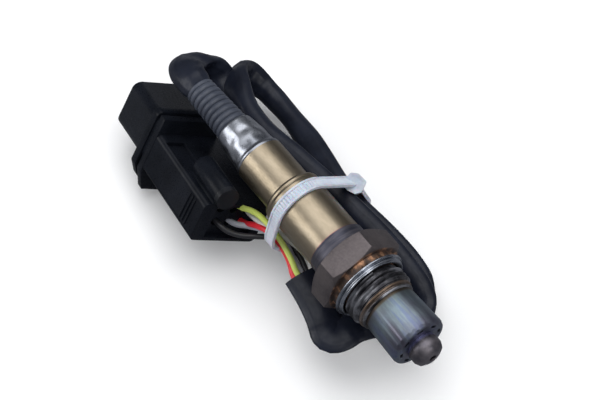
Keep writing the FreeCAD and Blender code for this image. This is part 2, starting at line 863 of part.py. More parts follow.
def make_housing():
    """One moulded piece: shroud, two-step flange, rear body, boss, latch seat and ribs."""
    body = connector_body("connector_housing")
    shroud = new_sketch(body, "shroud_section", "YZ_Plane")
    add_box_outline(shroud, "0", "shroud_width", "0", "shroud_height")
    pad = padded(body, shroud, "shroud", "rear_body_start")
    round_lengthways(body, pad, "shroud_rounds", "housing_corner_round", [], ["rear_body_start"])

    for name, start, length, inset, drop in (
        ("flange", "shroud_length", "flange_thickness", "0", "flange_drop"),
        (
            "step_flange",
            "step_flange_start",
            "flange_step_thickness",
            "flange_step_inset",
            "flange_step_drop",
        ),
    ):
        ring = new_sketch(body, name + "_section", "YZ_Plane", start)
        left, low = f"{inset} - flange_left_side", f"-{drop}"
        right, top = f"shroud_width + flange_side - {inset}", f"shroud_height + flange_rise - {inset}"
        cut_across, cut_up = f"{right} - flange_corner_cut", f"{low} + flange_corner_cut"
        add_outline(ring, [
            (f"{left} + flange_left_slant", low),
            (cut_across, low),
            (right, cut_up),
            (right, top),
            (left, top),
            (left, "-rear_body_drop - flange_slant_gap"),
        ])
        pad = padded(body, ring, name, length)
        if name == "flange":
            round_lengthways(body, pad, "flange_rounds", "flange_round", [start], [start, length])

    rear = new_sketch(body, "rear_section", "YZ_Plane", "rear_body_start")
    add_box_outline(rear, "0", "rear_body_width", "-rear_body_drop", "rear_body_top")
    pad = padded(body, rear, "rear_body", "rear_body_length")
    round_lengthways(
        body, pad, "rear_rounds", "rear_body_round", ["rear_body_start"], ["housing_length"]
    )

    boss = new_sketch(body, "boss_section", "YZ_Plane", "housing_length - boss_length")
    add_circle(boss, "boss_radius", "boss_side", "rear_body_top + boss_lift")
    padded(body, boss, "resistor_boss", "boss_length")
    saddle = new_sketch(body, "saddle_section", "YZ_Plane", "housing_length - boss_length")
    add_box_outline(
        saddle,
        "boss_side - boss_radius * 0.8",
        "boss_side + boss_radius * 0.8",
        "rear_body_top - 1",
        "rear_body_top + boss_lift",
    )
    padded(body, saddle, "boss_saddle", "boss_length")

    rib = new_sketch(body, "rib_section", "XZ_Plane", "-0.5")
    add_box_outline(
        rib,
        "recess_floor - rib_count * rib_pitch",
        "recess_floor - rib_count * rib_pitch + rib_width",
        "rib_margin - rear_body_drop",
        "rear_body_top - rib_margin",
    )
    bar = padded(body, rib, "grip_rib", "0.5 + rib_height")
    in_line(body, bar, "grip_ribs", "X_Axis", "(rib_count - 1) * rib_pitch", "rib_count")

    cavity = new_sketch(body, "cavity_section", "YZ_Plane")
    add_box_outline(
        cavity,
        "shroud_wall",
        "shroud_width - shroud_wall",
        "shroud_wall",
        "shroud_height - shroud_wall",
    )
    pocketed(body, cavity, "shroud_cavity", "shroud_depth", backwards=True)
    recess = new_sketch(body, "recess_section", "YZ_Plane", "housing_length")
    add_recess_outline(recess, "0")
    pocketed(body, recess, "rear_recess", "rear_recess_depth")
    seats = new_sketch(body, "seal_seats", "YZ_Plane", "recess_floor")
    slots = new_sketch(body, "pin_slots", "YZ_Plane", "shroud_depth")
    for across, up in PIN_PLACES.values():
        add_circle(seats, "seal_radius", across, up)
        add_pin_outline(slots, across, up, "fit_clearance")
    pocketed(body, seats, "seal_seat_cuts", "seal_length")
    pocketed(body, slots, "pin_slot_cuts", "seal_floor - shroud_depth", backwards=True)

    latch = new_sketch(body, "latch_seat", "XY_Plane", "rear_body_top")
    add_box_outline(
        latch,
        "rear_body_start + latch_recess_gap",
        "rear_body_start + latch_recess_gap + latch_recess_length",
        "latch_rim",
        "latch_rim + latch_recess_width",
    )
    pocketed(body, latch, "latch_seat_cut", "latch_recess_depth")
    return body


def add_recess_outline(sketch, gap):
    add_box_outline(
        sketch,
        f"pin_middle - rear_recess_width / 2 + {gap}",
        f"pin_middle + rear_recess_width / 2 - {gap}",
        f"rear_recess_wall - rear_body_drop + {gap}",
        f"rear_body_top - rear_recess_wall - {gap}",
    )


def add_pin_outline(sketch, across, up, gap):
    add_box_outline(
        sketch,
        f"{across} - pin_width / 2 - {gap}",
        f"{across} + pin_width / 2 + {gap}",
        f"{up} - pin_thickness / 2 - {gap}",
        f"{up} + pin_thickness / 2 + {gap}",
    )


def make_terminal_pins():
    """Six blades, each with a thinner tip that leads into the mating socket."""
    body = connector_body("terminal_pins")
    blades = new_sketch(body, "blade_sections", "YZ_Plane", "pin_tip_station + 1.2")
    tips = new_sketch(body, "tip_sections", "YZ_Plane", "pin_tip_station")
    for across, up in PIN_PLACES.values():
        add_pin_outline(blades, across, up, "0")
        add_pin_outline(tips, across, up, "-0.2")
    padded(body, blades, "blades", "seal_floor - pin_tip_station - 1.2")
    padded(body, tips, "tips", "1.2")
    return body


def make_secondary_lock():
    """A plate on the cavity's floor with a slot for each pin."""
    body = connector_body("secondary_lock")
    plate = new_sketch(body, "plate_section", "YZ_Plane", "shroud_depth - lock_thickness")
    add_box_outline(
        plate,
        "shroud_wall + fit_clearance",
        "shroud_width - shroud_wall - fit_clearance",
        "shroud_wall + fit_clearance",
        "shroud_height - shroud_wall - fit_clearance",
    )
    padded(body, plate, "plate", "lock_thickness")
    slots = new_sketch(body, "pin_slots", "YZ_Plane", "shroud_depth")
    for across, up in PIN_PLACES.values():
        add_pin_outline(slots, across, up, "fit_clearance")
    pocketed(body, slots, "pin_slot_cuts", "lock_thickness")
    return body


def make_seal_cover():
    """A plate on the recess floor with a hole for each lead."""
    body = connector_body("rear_seal_cover")
    plate = new_sketch(body, "plate_section", "YZ_Plane", "recess_floor")
    add_recess_outline(plate, "fit_clearance")
    padded(body, plate, "plate", "seal_cover_thickness")
    holes = new_sketch(body, "lead_holes", "YZ_Plane", "recess_floor + seal_cover_thickness")
    for across, up in PIN_PLACES.values():
        add_circle(holes, "wire_radius + seal_cover_hole_gap", across, up)
    pocketed(body, holes, "lead_hole_cuts", "seal_cover_thickness")
    return body


def make_wire_seals():
    """Five bored seals and one blind plug."""
    body = connector_body("wire_seals")
    plugs = new_sketch(body, "seal_sections", "YZ_Plane", "seal_floor")
    bores = new_sketch(body, "seal_bores", "YZ_Plane", "recess_floor")
    for place, (across, up) in PIN_PLACES.items():
        add_circle(plugs, "seal_radius", across, up)
        if place != BLANK_PLACE:
            add_circle(bores, "wire_radius", across, up)
    padded(body, plugs, "seals", "seal_length")
    pocketed(body, bores, "seal_bore_cuts", "seal_length")
    return body


def make_resistor_cap():
    body = connector_body("resistor_cap")
    disc = new_sketch(body, "disc_section", "YZ_Plane", "housing_length")
    add_circle(disc, "boss_radius", "boss_side", "rear_body_top + boss_lift")
    padded(body, disc, "disc", "boss_cap_length")
    return body


# Cable tie


def make_cable_tie():
    """A strap drawn tight round its guide circles, joined to a head with a slotted end."""
    guides = []
    for across, up, radius, slack in TIE_GUIDES:
        guides.append((Vector(0, across, up), size(radius) + size("fit_clearance") + slack))
    inner = Part.Face(belt(guides, 0))
    outer = Part.Face(belt(guides, size("tie_thickness")))
    strap = outer.cut(inner).extrude(Vector(size("tie_width"), 0, 0))
    strap.translate(Vector(size("tie_station") - size("tie_width") / 2, 0, 0))

    corner, radius = guides[-1]
    along, away = tangent_axes(guides[-1], guides[0])
    length, width, height = size("tie_head_length"), size("tie_head_width"), size("tie_head_height")
    head = Part.makeBox(length, width, height)
    slot = Part.makeBox(0.8, size("tie_width"), size("tie_thickness"))
    slot.translate(Vector(0, (width - size("tie_width")) / 2, 1.2 + size("tie_thickness")))
    head = head.cut(slot)
    axes = FreeCAD.Matrix(
        along.x, 1, away.x, 0,
        along.y, 0, away.y, 0,
        along.z, 0, away.z, 0,
        0, 0, 0, 1,
    )
    base = Vector(size("tie_station") - width / 2, 0, 0) + corner + away * radius - along * length / 2
    head.Placement = FreeCAD.Placement(base, FreeCAD.Rotation(axes))
    return shape_feature("cable_tie", strap.fuse(head).removeSplitter())


def tangent_axes(start, end):
    """For two guide circles: the direction of their outer tangent, and its outward normal."""
    (first, radius), (second, other) = start, end
    along = second - first
    lean = (radius - other) / along.Length
    along.normalize()
    right = Vector(0, along.z, -along.y)
    away = right * math.sqrt(1 - lean ** 2) + along * lean
    return Vector(0, -away.z, away.y), away


def belt(guides, extra):
    """The closed line round all the circles, each made larger by extra."""
    count = len(guides)
    normals = [tangent_axes(guides[i], guides[(i + 1) % count])[1] for i in range(count)]
    edges = []
    for i, (middle, radius) in enumerate(guides):
        reach = radius + extra
        bisector = (normals[i - 1] + normals[i]).normalize()
        leave = middle + normals[i] * reach
        arc = Part.Arc(middle + normals[i - 1] * reach, middle + bisector * reach, leave)
        following, next_radius = guides[(i + 1) % count]
        edges.append(arc.toShape())
        edges.append(Part.LineSegment(leave, following + normals[i] * (next_radius + extra)).toShape())
    return Part.Wire(edges)


# Make every sub-part

bush_slot = ("element_width + 2 * slot_clearance", "element_thickness + 2 * slot_clearance")
sub_parts = [
    make_hex_body(),
    make_gasket_ring(),
    make_outer_tube(),
    make_inner_tube(),
    make_shell(),
    make_crimp_collar(),
    make_corrugated_boot(),
    make_grommet(),
    make_rods("lead_ends", "sleeve_start", "crimp_rear - sleeve_start", "lead_radius"),
    make_rods("crimp_terminals", "crimp_rear", "crimp_length", "crimp_radius"),
    make_contact_springs(),
    make_bush(
        "contact_holder",
        "holder_rear",
        "holder_rear + holder_length",
        "holder_radius",
        "holder_slot_width",
        "holder_slot_height",
    ),
    make_element(),
    make_bush("upper_ceramic_bush", "bush_rear", "talc_rear", "bush_radius", *bush_slot),
    make_bush("talc_packing", "talc_rear", "talc_front", "bush_radius", *bush_slot),
    make_bush("lower_ceramic_bush", "talc_front", "bore_seat", "bush_radius", *bush_slot),
    make_cord("cable_sleeve", SLEEVE_ROUTE, size("sleeve_radius")),
    make_housing(),
    make_terminal_pins(),
    make_secondary_lock(),
    make_seal_cover(),
    make_wire_seals(),
    make_resistor_cap(),
    make_cable_tie(),
]
for wire in WIRES:
    sub_parts.append(make_cord(wire, wire_route(wire), size("wire_radius")))

doc.removeObject(scratch.Name)
doc.recompute()
for item in doc.Objects:
    if "Invalid" in item.State or "Error" in item.State:
        raise RuntimeError(f"{item.Label} did not build")
for part in sub_parts:
    if part.Shape.isNull() or not part.Shape.isValid() or not part.Shape.Solids:
        raise RuntimeError(f"{part.Label} is not a valid solid")

os.makedirs("parts", exist_ok=True)
for part in sub_parts:
    part.Shape.exportStep(f"parts/{part.Label}.step")
    print(f"{part.Label}: {len(part.Shape.Solids)} solids, {part.Shape.Volume:.0f} mm3")
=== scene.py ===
# %% [markdown]
# # An exhaust gas sensor with its folded cable
#
# The part is a probe that screws into an exhaust pipe. A steel body carries the thread and
# the hexagon, a drawn shell holds the inner pieces, and a rubber boot lets the cable out. The
# cable is tied up beside it as it comes from the shop.
#
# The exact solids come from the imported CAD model, which is loaded first as a fixed frame.
# This script gives them their finishes, and makes new pieces where a solid is too plain:
# thread, folded ring, dents, flared tube and nose, rubber ribs, flattened cable and ribbed tie.

import math

import bmesh
import bpy
from mathutils import Matrix, Vector
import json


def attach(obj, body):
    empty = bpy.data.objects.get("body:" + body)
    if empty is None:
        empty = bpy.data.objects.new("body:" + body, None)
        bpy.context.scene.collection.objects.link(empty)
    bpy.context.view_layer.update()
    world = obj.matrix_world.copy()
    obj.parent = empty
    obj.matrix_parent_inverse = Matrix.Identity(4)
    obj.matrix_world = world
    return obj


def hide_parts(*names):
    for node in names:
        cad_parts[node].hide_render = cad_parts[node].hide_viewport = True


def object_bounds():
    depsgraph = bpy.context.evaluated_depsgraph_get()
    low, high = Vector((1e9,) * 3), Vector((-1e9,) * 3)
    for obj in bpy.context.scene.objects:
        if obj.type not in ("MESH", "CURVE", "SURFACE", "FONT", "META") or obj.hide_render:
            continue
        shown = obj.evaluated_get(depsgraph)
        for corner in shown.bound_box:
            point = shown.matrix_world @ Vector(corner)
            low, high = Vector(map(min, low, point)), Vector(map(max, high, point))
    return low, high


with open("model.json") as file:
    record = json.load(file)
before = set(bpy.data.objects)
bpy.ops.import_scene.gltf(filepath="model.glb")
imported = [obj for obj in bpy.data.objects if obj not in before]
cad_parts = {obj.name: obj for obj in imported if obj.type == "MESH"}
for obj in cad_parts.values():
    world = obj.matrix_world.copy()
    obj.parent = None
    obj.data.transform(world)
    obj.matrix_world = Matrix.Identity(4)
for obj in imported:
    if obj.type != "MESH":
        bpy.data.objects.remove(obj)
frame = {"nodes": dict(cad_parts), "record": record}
cad_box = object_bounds()
print("CAD box in metres:", [[round(v, 4) for v in corner] for corner in cad_box])

# %% [markdown]
# ## The camera
#
# A long lens far away keeps the sensor's sides nearly parallel, as in the picture of a small
# product. The camera looks down steeply, so it is placed by two angles and a distance from a
# point on the sensor's axis. That point isn't in the middle of the picture, so the camera is
# then swung by the smallest turn that brings the middle of the whole bundle there.

# %% Place the camera
MM = 0.001
AZIMUTH, ELEVATION = math.radians(52.6), math.radians(61.7)
CAMERA_DISTANCE = 700
FOCAL_LENGTH, SENSOR_WIDTH = 162.6, 36
AXIS_POINT = Vector((1.7, 0, 0)) * MM
MIDDLE_UP, MIDDLE_LEFT = 24.1, 19.76

picture_right = Vector((math.cos(AZIMUTH), math.sin(AZIMUTH), 0))
to_camera = Vector(
    (
        math.sin(AZIMUTH) * math.cos(ELEVATION),
        -math.cos(AZIMUTH) * math.cos(ELEVATION),
        math.sin(ELEVATION),
    )
)
picture_up = to_camera.cross(picture_right)
camera_data = bpy.data.cameras.new("camera")
camera_data.lens = FOCAL_LENGTH
camera_data.sensor_width = SENSOR_WIDTH
camera_data.clip_start, camera_data.clip_end = 0.05, 10
camera = bpy.data.objects.new("camera", camera_data)
bpy.context.collection.objects.link(camera)
camera_place = AXIS_POINT + to_camera * CAMERA_DISTANCE * MM
aim = AXIS_POINT + (picture_up * MIDDLE_UP - picture_right * MIDDLE_LEFT) * MM
straight = Matrix((picture_right, picture_up, to_camera)).transposed().to_quaternion()
swing = (-to_camera).rotation_difference((aim - camera_place).normalized())
camera.location = camera_place
camera.rotation_euler = (swing @ straight).to_euler()
bpy.context.scene.camera = camera
print("camera at", [round(v, 3) for v in camera.location])

# %% [markdown]
# ## Floor and light
#
# The floor lies just under the lowest piece and is white by its own colour. In reflections it
# is grey, as dark plastic and steel on white paper otherwise mirror it along their undersides.
# The room is bright overhead and dim at the sides, because metal shows whatever stands round
# it: the streaks along a steel tube are the picture of a bright ceiling between darker walls.
# Three soft lamps stand round the object: a large one above, one from the left and a weak one
# from the right.

# %% Make the floor
FLOOR_SIZE = 3
SEEN_WHITE, MIRRORED_GREY = (0.98, 0.98, 0.98, 1), (0.22, 0.225, 0.24, 1)
# A colour mix node has several sockets of the same name, so they are called by number.
MIX_SHARE, MIX_FIRST, MIX_SECOND, MIX_RESULT = 0, 6, 7, 2

floor_mesh = bpy.data.meshes.new("floor")
sheet = bmesh.new()
bmesh.ops.create_grid(sheet, x_segments=1, y_segments=1, size=FLOOR_SIZE)
bmesh.ops.translate(sheet, verts=sheet.verts, vec=(0, 0, cad_box[0][2]))
sheet.to_mesh(floor_mesh)
sheet.free()
floor = bpy.data.objects.new("floor", floor_mesh)
bpy.context.collection.objects.link(floor)

paper = bpy.data.materials.new("white paper floor")
paper.use_nodes = True
nodes, links = paper.node_tree.nodes, paper.node_tree.links
nodes["Principled BSDF"].inputs["Roughness"].default_value = 0.9
nodes["Principled BSDF"].inputs["Specular IOR Level"].default_value = 0.0
ray = nodes.new("ShaderNodeLightPath")
paper_colour = nodes.new("ShaderNodeMix")
paper_colour.data_type = "RGBA"
paper_colour.inputs[MIX_FIRST].default_value = SEEN_WHITE
paper_colour.inputs[MIX_SECOND].default_value = MIRRORED_GREY
links.new(ray.outputs["Is Glossy Ray"], paper_colour.inputs[MIX_SHARE])
links.new(paper_colour.outputs[MIX_RESULT], nodes["Principled BSDF"].inputs["Base Color"])
floor_mesh.materials.append(paper)
print("floor at z", round(cad_box[0][2], 4))

# %% Light it
HORIZON, CEILING = (0.035, 0.037, 0.045, 1), (0.34, 0.35, 0.37, 1)
CEILING_HEIGHT = 0.8

world = bpy.data.worlds.new("soft room")
bpy.context.scene.world = world
world.use_nodes = True
nodes, links = world.node_tree.nodes, world.node_tree.links
where = nodes.new("ShaderNodeTexCoord")
split = nodes.new("ShaderNodeSeparateXYZ")
links.new(where.outputs["Generated"], split.inputs[0])
sky = nodes.new("ShaderNodeValToRGB")
low, high = sky.color_ramp.elements
low.position, low.color = 0.0, HORIZON
high.position, high.color = CEILING_HEIGHT, CEILING
links.new(split.outputs["Z"], sky.inputs["Fac"])
links.new(sky.outputs["Color"], nodes["Background"].inputs["Color"])


def soft_lamp(name, place, aim_at, size, watts):
    """A square lamp that looks at a point."""
    data = bpy.data.lights.new(name, "AREA")
    data.shape, data.size, data.energy = "SQUARE", size, watts
    lamp = bpy.data.objects.new(name, data)
    lamp.location = place
    lamp.rotation_euler = (Vector(aim_at) - Vector(place)).to_track_quat("-Z", "Y").to_euler()
    bpy.context.collection.objects.link(lamp)


middle = (Vector(cad_box[0]) + Vector(cad_box[1])) / 2
soft_lamp("lamp above", middle + Vector((-0.06, 0.14, 0.8)), middle, size=1.0, watts=7.0)
soft_lamp("lamp left", middle + Vector((-0.45, -0.55, 0.35)), middle, size=0.45, watts=2.6)
soft_lamp("lamp right", middle + Vector((0.7, 0.1, 0.35)), middle, size=0.3, watts=1.4)
bpy.context.scene.view_settings.view_transform = "Standard"
print("three lamps and a soft sky")

# %% [markdown]
# ## Helpers for finishes
#
# Every finish is one shader with a few small patterns behind it. The patterns read Object
# coordinates in metres, so a scale of 1000 makes one unit of noise a millimetre. Helpers keep
# each finish down to the few lines that say what it looks like. The noise seldom leaves the
# range from 0.35 to 0.65, so that range is what gets spread over colours and roughness.

# %% Helpers for finishes
NOISE_LOW, NOISE_HIGH = 0.35, 0.65


def start_finish(name, colour, rough, metal=0.0, **sockets):
    """A new material and its shader, with the values that are the same all over."""
    finish = bpy.data.materials.new(name)
    finish.use_nodes = True
    shader = finish.node_tree.nodes["Principled BSDF"]
    shader.inputs["Base Color"].default_value = (*colour, 1)
    shader.inputs["Metallic"].default_value = metal
    shader.inputs["Roughness"].default_value = rough
    for socket, value in sockets.items():
        shader.inputs[socket.replace("_", " ")].default_value = value
    return finish, shader


def stretched_place(finish, scale):
    """Object coordinates in units that suit a pattern, one factor for each axis."""
    nodes, links = finish.node_tree.nodes, finish.node_tree.links
    where = nodes.new("ShaderNodeTexCoord")
    mapping = nodes.new("ShaderNodeMapping")
    mapping.inputs["Scale"].default_value = scale
    links.new(where.outputs["Object"], mapping.inputs["Vector"])
    return mapping.outputs["Vector"]


def speckle(finish, scale, detail=3.0, rough=0.55):
    """Cloudy noise from 0 to 1."""
    noise = finish.node_tree.nodes.new("ShaderNodeTexNoise")
    noise.inputs["Scale"].default_value = 1.0
    noise.inputs["Detail"].default_value = detail
    noise.inputs["Roughness"].default_value = rough
    finish.node_tree.links.new(stretched_place(finish, scale), noise.inputs["Vector"])
    return noise.outputs["Fac"]


def station(finish, start, end):
    """0 at one station along the sensor's axis and 1 at another, both in millimetres."""
    nodes, links = finish.node_tree.nodes, finish.node_tree.links
    split = nodes.new("ShaderNodeSeparateXYZ")
    links.new(stretched_place(finish, (1000, 1000, 1000)), split.inputs[0])
    reach = nodes.new("ShaderNodeMapRange")
    reach.inputs["From Min"].default_value = start
    reach.inputs["From Max"].default_value = end
    links.new(split.outputs["X"], reach.inputs["Value"])
    return reach.outputs[0]


def colours(finish, value, stops):
    """A ramp from a value to colours: stops are (place, colour)."""
    ramp = finish.node_tree.nodes.new("ShaderNodeValToRGB")
    points = ramp.color_ramp.elements
    while len(points) < len(stops):
        points.new(0.5)
    for point, (place, colour) in zip(points, stops):
        point.position = place
        point.color = (*colour, 1)
    finish.node_tree.links.new(value, ramp.inputs["Fac"])
    return ramp.outputs["Color"]


def mask(finish, value, stops):
    """A ramp from a value to a share between 0 and 1: stops are (place, share)."""
    return colours(finish, value, [(place, (share,) * 3) for place, share in stops])


def spread(finish, value, low, high):
    """Noise stretched to another range."""
    reach = finish.node_tree.nodes.new("ShaderNodeMapRange")
    reach.inputs["From Min"].default_value = NOISE_LOW
    reach.inputs["From Max"].default_value = NOISE_HIGH
    reach.inputs["To Min"].default_value = low
    reach.inputs["To Max"].default_value = high
    finish.node_tree.links.new(value, reach.inputs["Value"])
    return reach.outputs[0]


def blend_colours(finish, share, first, second, kind="MIX"):
    """Two colours mixed by a share that varies over the surface."""
    mix = finish.node_tree.nodes.new("ShaderNodeMix")
    mix.data_type = "RGBA"
    mix.blend_type = kind
    links = finish.node_tree.links
    for socket, value in ((MIX_SHARE, share), (MIX_FIRST, first), (MIX_SECOND, second)):
        if isinstance(value, bpy.types.NodeSocket):
            links.new(value, mix.inputs[socket])
        else:
            mix.inputs[socket].default_value = value if socket == MIX_SHARE else (*value, 1)
    return mix.outputs[MIX_RESULT]


def dented(finish, shader, height, distance, strength):
    """A bump whose height is a distance in millimetres times a value, on top of any other."""
    bump = finish.node_tree.nodes.new("ShaderNodeBump")
    bump.inputs["Distance"].default_value = distance * MM
    bump.inputs["Strength"].default_value = strength
    links = finish.node_tree.links
    links.new(height, bump.inputs["Height"])
    old = shader.inputs["Normal"].links
    if old:
        links.new(old[0].from_socket, bump.inputs["Normal"])
    links.new(bump.outputs["Normal"], shader.inputs["Normal"])


def paint(finish, shader, colour, rough):
    """Plugs a varying colour and roughness into the shader."""
    finish.node_tree.links.new(colour, shader.inputs["Base Color"])
    finish.node_tree.links.new(rough, shader.inputs["Roughness"])


print("helpers ready")

# %% [markdown]
# ## Steel finishes
#
# The same steel looks different from end to end, because the exhaust's heat has coloured it.
# The body is brown-grey and matt, the shell is bronze, the nose is bluish. Turned pieces have
# fine rings round the axis, so their noise is squeezed along X and nearly constant round it.
# Where one colour gives way to another, the two stations along the axis are named.

# %% Steel of the body
HEXAGON_NECK = -15.8, -10.8
SHELL_EDGE = -17.6, -15.6
SEAT_COLLAR = -4.2, -1.8
THREAD_RUNOUT = 4.6, 6.6


def body_steel():
    """Milled, turned and heat-browned steel, and dark brown copper with painted glints on the seat
    collar.
    """
    finish, shader = start_finish("body steel", (0.13, 0.11, 0.105), metal=0.85, rough=0.5)
    grain = speckle(finish, (1500, 1500, 1500), detail=4)
    patches = speckle(finish, (160, 160, 160), detail=2)
    base = colours(
        finish, patches, [(0.35, (0.075, 0.064, 0.068)), (0.65, (0.115, 0.1, 0.102))]
    )
    base = blend_colours(finish, spread(finish, grain, 0.0, 0.35), base, (0.16, 0.14, 0.14))
    collar = mask(finish, station(finish, *SEAT_COLLAR), [(0.1, 0), (0.2, 1), (0.9, 1)])
    # The copper is mostly dark brown. Its brightest stop, which only the rare noise peaks reach,
    # is painted glints: bright spots that stand in for highlights.
    copper = colours(
        finish,
        speckle(finish, (220, 300, 300), detail=3),
        [(0.42, (0.05, 0.036, 0.03)), (0.52, (0.15, 0.085, 0.055)), (0.64, (0.6, 0.33, 0.19))],
    )
    base = blend_colours(finish, collar, base, copper)
    neck = mask(finish, station(finish, *HEXAGON_NECK), [(0.0, 1), (0.95, 1), (1.0, 0)])
    bluish = colours(
        finish,
        speckle(finish, (900, 120, 120)),
        [(0.35, (0.04, 0.042, 0.06)), (0.65, (0.1, 0.096, 0.115))],
    )
    base = blend_colours(finish, neck, base, bluish)
    paint(finish, shader, colour=base, rough=spread(finish, patches, 0.42, 0.58))
    dented(finish, shader, grain, 0.02, 0.6)
    return finish


def thread_steel():
    """Steel thread with smears of silver-grey paste and a straw tint at its front end."""
    finish, shader = start_finish("pasted thread", (0.2, 0.2, 0.22), metal=0.9, rough=0.4)
    smear = speckle(finish, (480, 190, 190), detail=4, rough=0.5)
    fine = speckle(finish, (900, 900, 900), detail=2)
    base = colours(
        finish,
        smear,
        [
            (0.38, (0.025, 0.025, 0.029)),
            (0.5, (0.09, 0.09, 0.1)),
            (0.62, (0.27, 0.275, 0.3)),
        ],
    )
    straw = mask(
        finish,
        station(finish, *THREAD_RUNOUT),
        [(0.0, 0), (0.25, 0.1), (0.4, 0.9), (0.7, 0.5), (1.0, 0)],
    )
    base = blend_colours(finish, straw, base, (0.16, 0.11, 0.075))
    paint(finish, shader, colour=base, rough=spread(finish, fine, 0.3, 0.5))
    dented(finish, shader, smear, 0.22, 0.7)
    dented(finish, shader, speckle(finish, (700, 330, 330), detail=3), 0.16, 0.7)
    dented(finish, shader, fine, 0.03, 0.6)
    return finish


def ring_steel():
    """Bright folded ring with fine turning lines."""
    finish, shader = start_finish("ring steel", (0.5, 0.52, 0.56), metal=1.0, rough=0.27)
    lines = speckle(finish, (3000, 150, 150), detail=2)
    worn = speckle(finish, (240, 240, 240), detail=4)
    base = colours(
        finish,
        worn,
        [(0.34, (0.1, 0.11, 0.13)), (0.5, (0.27, 0.29, 0.33)), (0.7, (0.5, 0.52, 0.56))],
    )
    paint(finish, shader, colour=base, rough=spread(finish, lines, 0.2, 0.38))
    dented(finish, shader, lines, 0.015, 0.5)
    return finish


def shell_steel():
    """Bronze-tinted drawn shell with a fine matt grain and a reddish front edge."""
    finish, shader = start_finish("bronze shell", (0.4, 0.33, 0.22), metal=1.0, rough=0.33)
    grain = speckle(finish, (2400, 2400, 2400), detail=3)
    bands = speckle(finish, (90, 300, 300), detail=3)
    base = colours(
        finish, bands, [(0.35, (0.235, 0.195, 0.138)), (0.65, (0.315, 0.265, 0.195))]
    )
    edge = mask(finish, station(finish, *SHELL_EDGE), [(0.0, 0), (0.8, 0.05), (0.97, 1)])
    base = blend_colours(finish, edge, base, (0.2, 0.07, 0.09))
    paint(finish, shader, colour=base, rough=spread(finish, grain, 0.29, 0.41))
    dented(finish, shader, grain, 0.02, 0.7)
    return finish


print("body, thread, ring and shell steels")

# %% Steel of the nose
TUBE_SIDE = 6.8, 19
NOSE_NECK = 20.2, 21.6


def tube_steel():
    """Drawn tube with blue and straw heat colours that run along it."""
    finish, shader = start_finish("heat-tinted tube", (0.4, 0.42, 0.45), metal=1.0, rough=0.3)
    streaks = speckle(finish, (45, 330, 330), detail=4)
    clouds = speckle(finish, (170, 170, 170), detail=2)
    steel = colours(
        finish,
        streaks,
        [
            (0.36, (0.14, 0.14, 0.17)),
            (0.46, (0.16, 0.185, 0.22)),
            (0.54, (0.2, 0.24, 0.265)),
            (0.62, (0.16, 0.195, 0.28)),
        ],
    )
    violet = blend_colours(finish, spread(finish, clouds, 0, 0.5), steel, (0.14, 0.13, 0.165))
    along = colours(
        finish,
        station(finish, *TUBE_SIDE),
        [
            (0.0, (0.2, 0.11, 0.06)),
            (0.07, (0.4, 0.3, 0.2)),
            (0.11, (0.62, 0.64, 0.6)),
            (0.35, (0.9, 0.98, 0.98)),
            (0.7, (1, 1, 1)),
            (0.95, (0.86, 0.84, 0.9)),
        ],
    )
    base = blend_colours(finish, 1.0, violet, along, "MULTIPLY")
    paint(finish, shader, colour=base, rough=spread(finish, streaks, 0.4, 0.52))
    dented(finish, shader, speckle(finish, (2200, 500, 500)), 0.01, 0.5)
    return finish


def nose_steel():
    """Inner tube: violet-blue neck, painted lighter to make up for the shade round it, and a
    grey-brown dome.
    """
    finish, shader = start_finish("tinted nose", (0.2, 0.19, 0.22), metal=0.95, rough=0.38)
    clouds = speckle(finish, (330, 330, 330), detail=4)
    # The neck's violet-blue is its own tint, but its colours are painted lighter than that:
    # painted light that makes up for the shade it sits in between the tubes.
    neck = colours(finish, clouds, [(0.35, (0.27, 0.26, 0.46)), (0.65, (0.5, 0.5, 0.75))])
    dome = colours(finish, clouds, [(0.35, (0.09, 0.085, 0.1)), (0.65, (0.18, 0.165, 0.18))])
    share = mask(finish, station(finish, *NOSE_NECK), [(0.2, 0), (0.75, 1)])
    paint(
        finish,
        shader,
        colour=blend_colours(finish, share, neck, dome),
        rough=spread(finish, clouds, 0.38, 0.55),
    )
    dented(finish, shader, speckle(finish, (1400, 1400, 1400)), 0.015, 0.5)
    return finish


def collar_metal():
    """Bright silver collar, beaten by the crimping tool."""
    finish, shader = start_finish("beaten silver", (0.66, 0.68, 0.71), metal=1.0, rough=0.24)
    worn = speckle(finish, (130, 130, 130), detail=1)
    fine = speckle(finish, (1800, 1800, 1800), detail=3)
    base = colours(finish, worn, [(0.35, (0.25, 0.265, 0.3)), (0.65, (0.34, 0.355, 0.39))])
    paint(finish, shader, colour=base, rough=spread(finish, fine, 0.27, 0.38))
    dented(finish, shader, fine, 0.006, 0.3)
    return finish


print("tube, nose and collar steels")

# %% [markdown]
# ## Rubber, plastic and ceramic finishes
#
# Rubber and dark plastic aren't one flat black: they are slightly blue, the light makes a soft
# sheen, and a fine leather-like grain breaks it up. A little dust makes the colour uneven.

# %% Finishes of soft and moulded pieces


def moulded(name, dark, light, rough, grain_size=1.0, depth=0.02, **sockets):
    """Moulded rubber or plastic: two close colours, a fine grain and an uneven sheen."""
    finish, shader = start_finish(name, dark, rough=rough, **sockets)
    clouds = speckle(finish, (120, 120, 120), detail=4)
    grain = speckle(finish, (900 / grain_size,) * 3, detail=3)
    base = colours(finish, clouds, [(0.35, dark), (0.68, light)])
    paint(finish, shader, colour=base, rough=spread(finish, grain, rough - 0.06, rough + 0.1))
    dented(finish, shader, grain, depth, 0.6)
    return finish


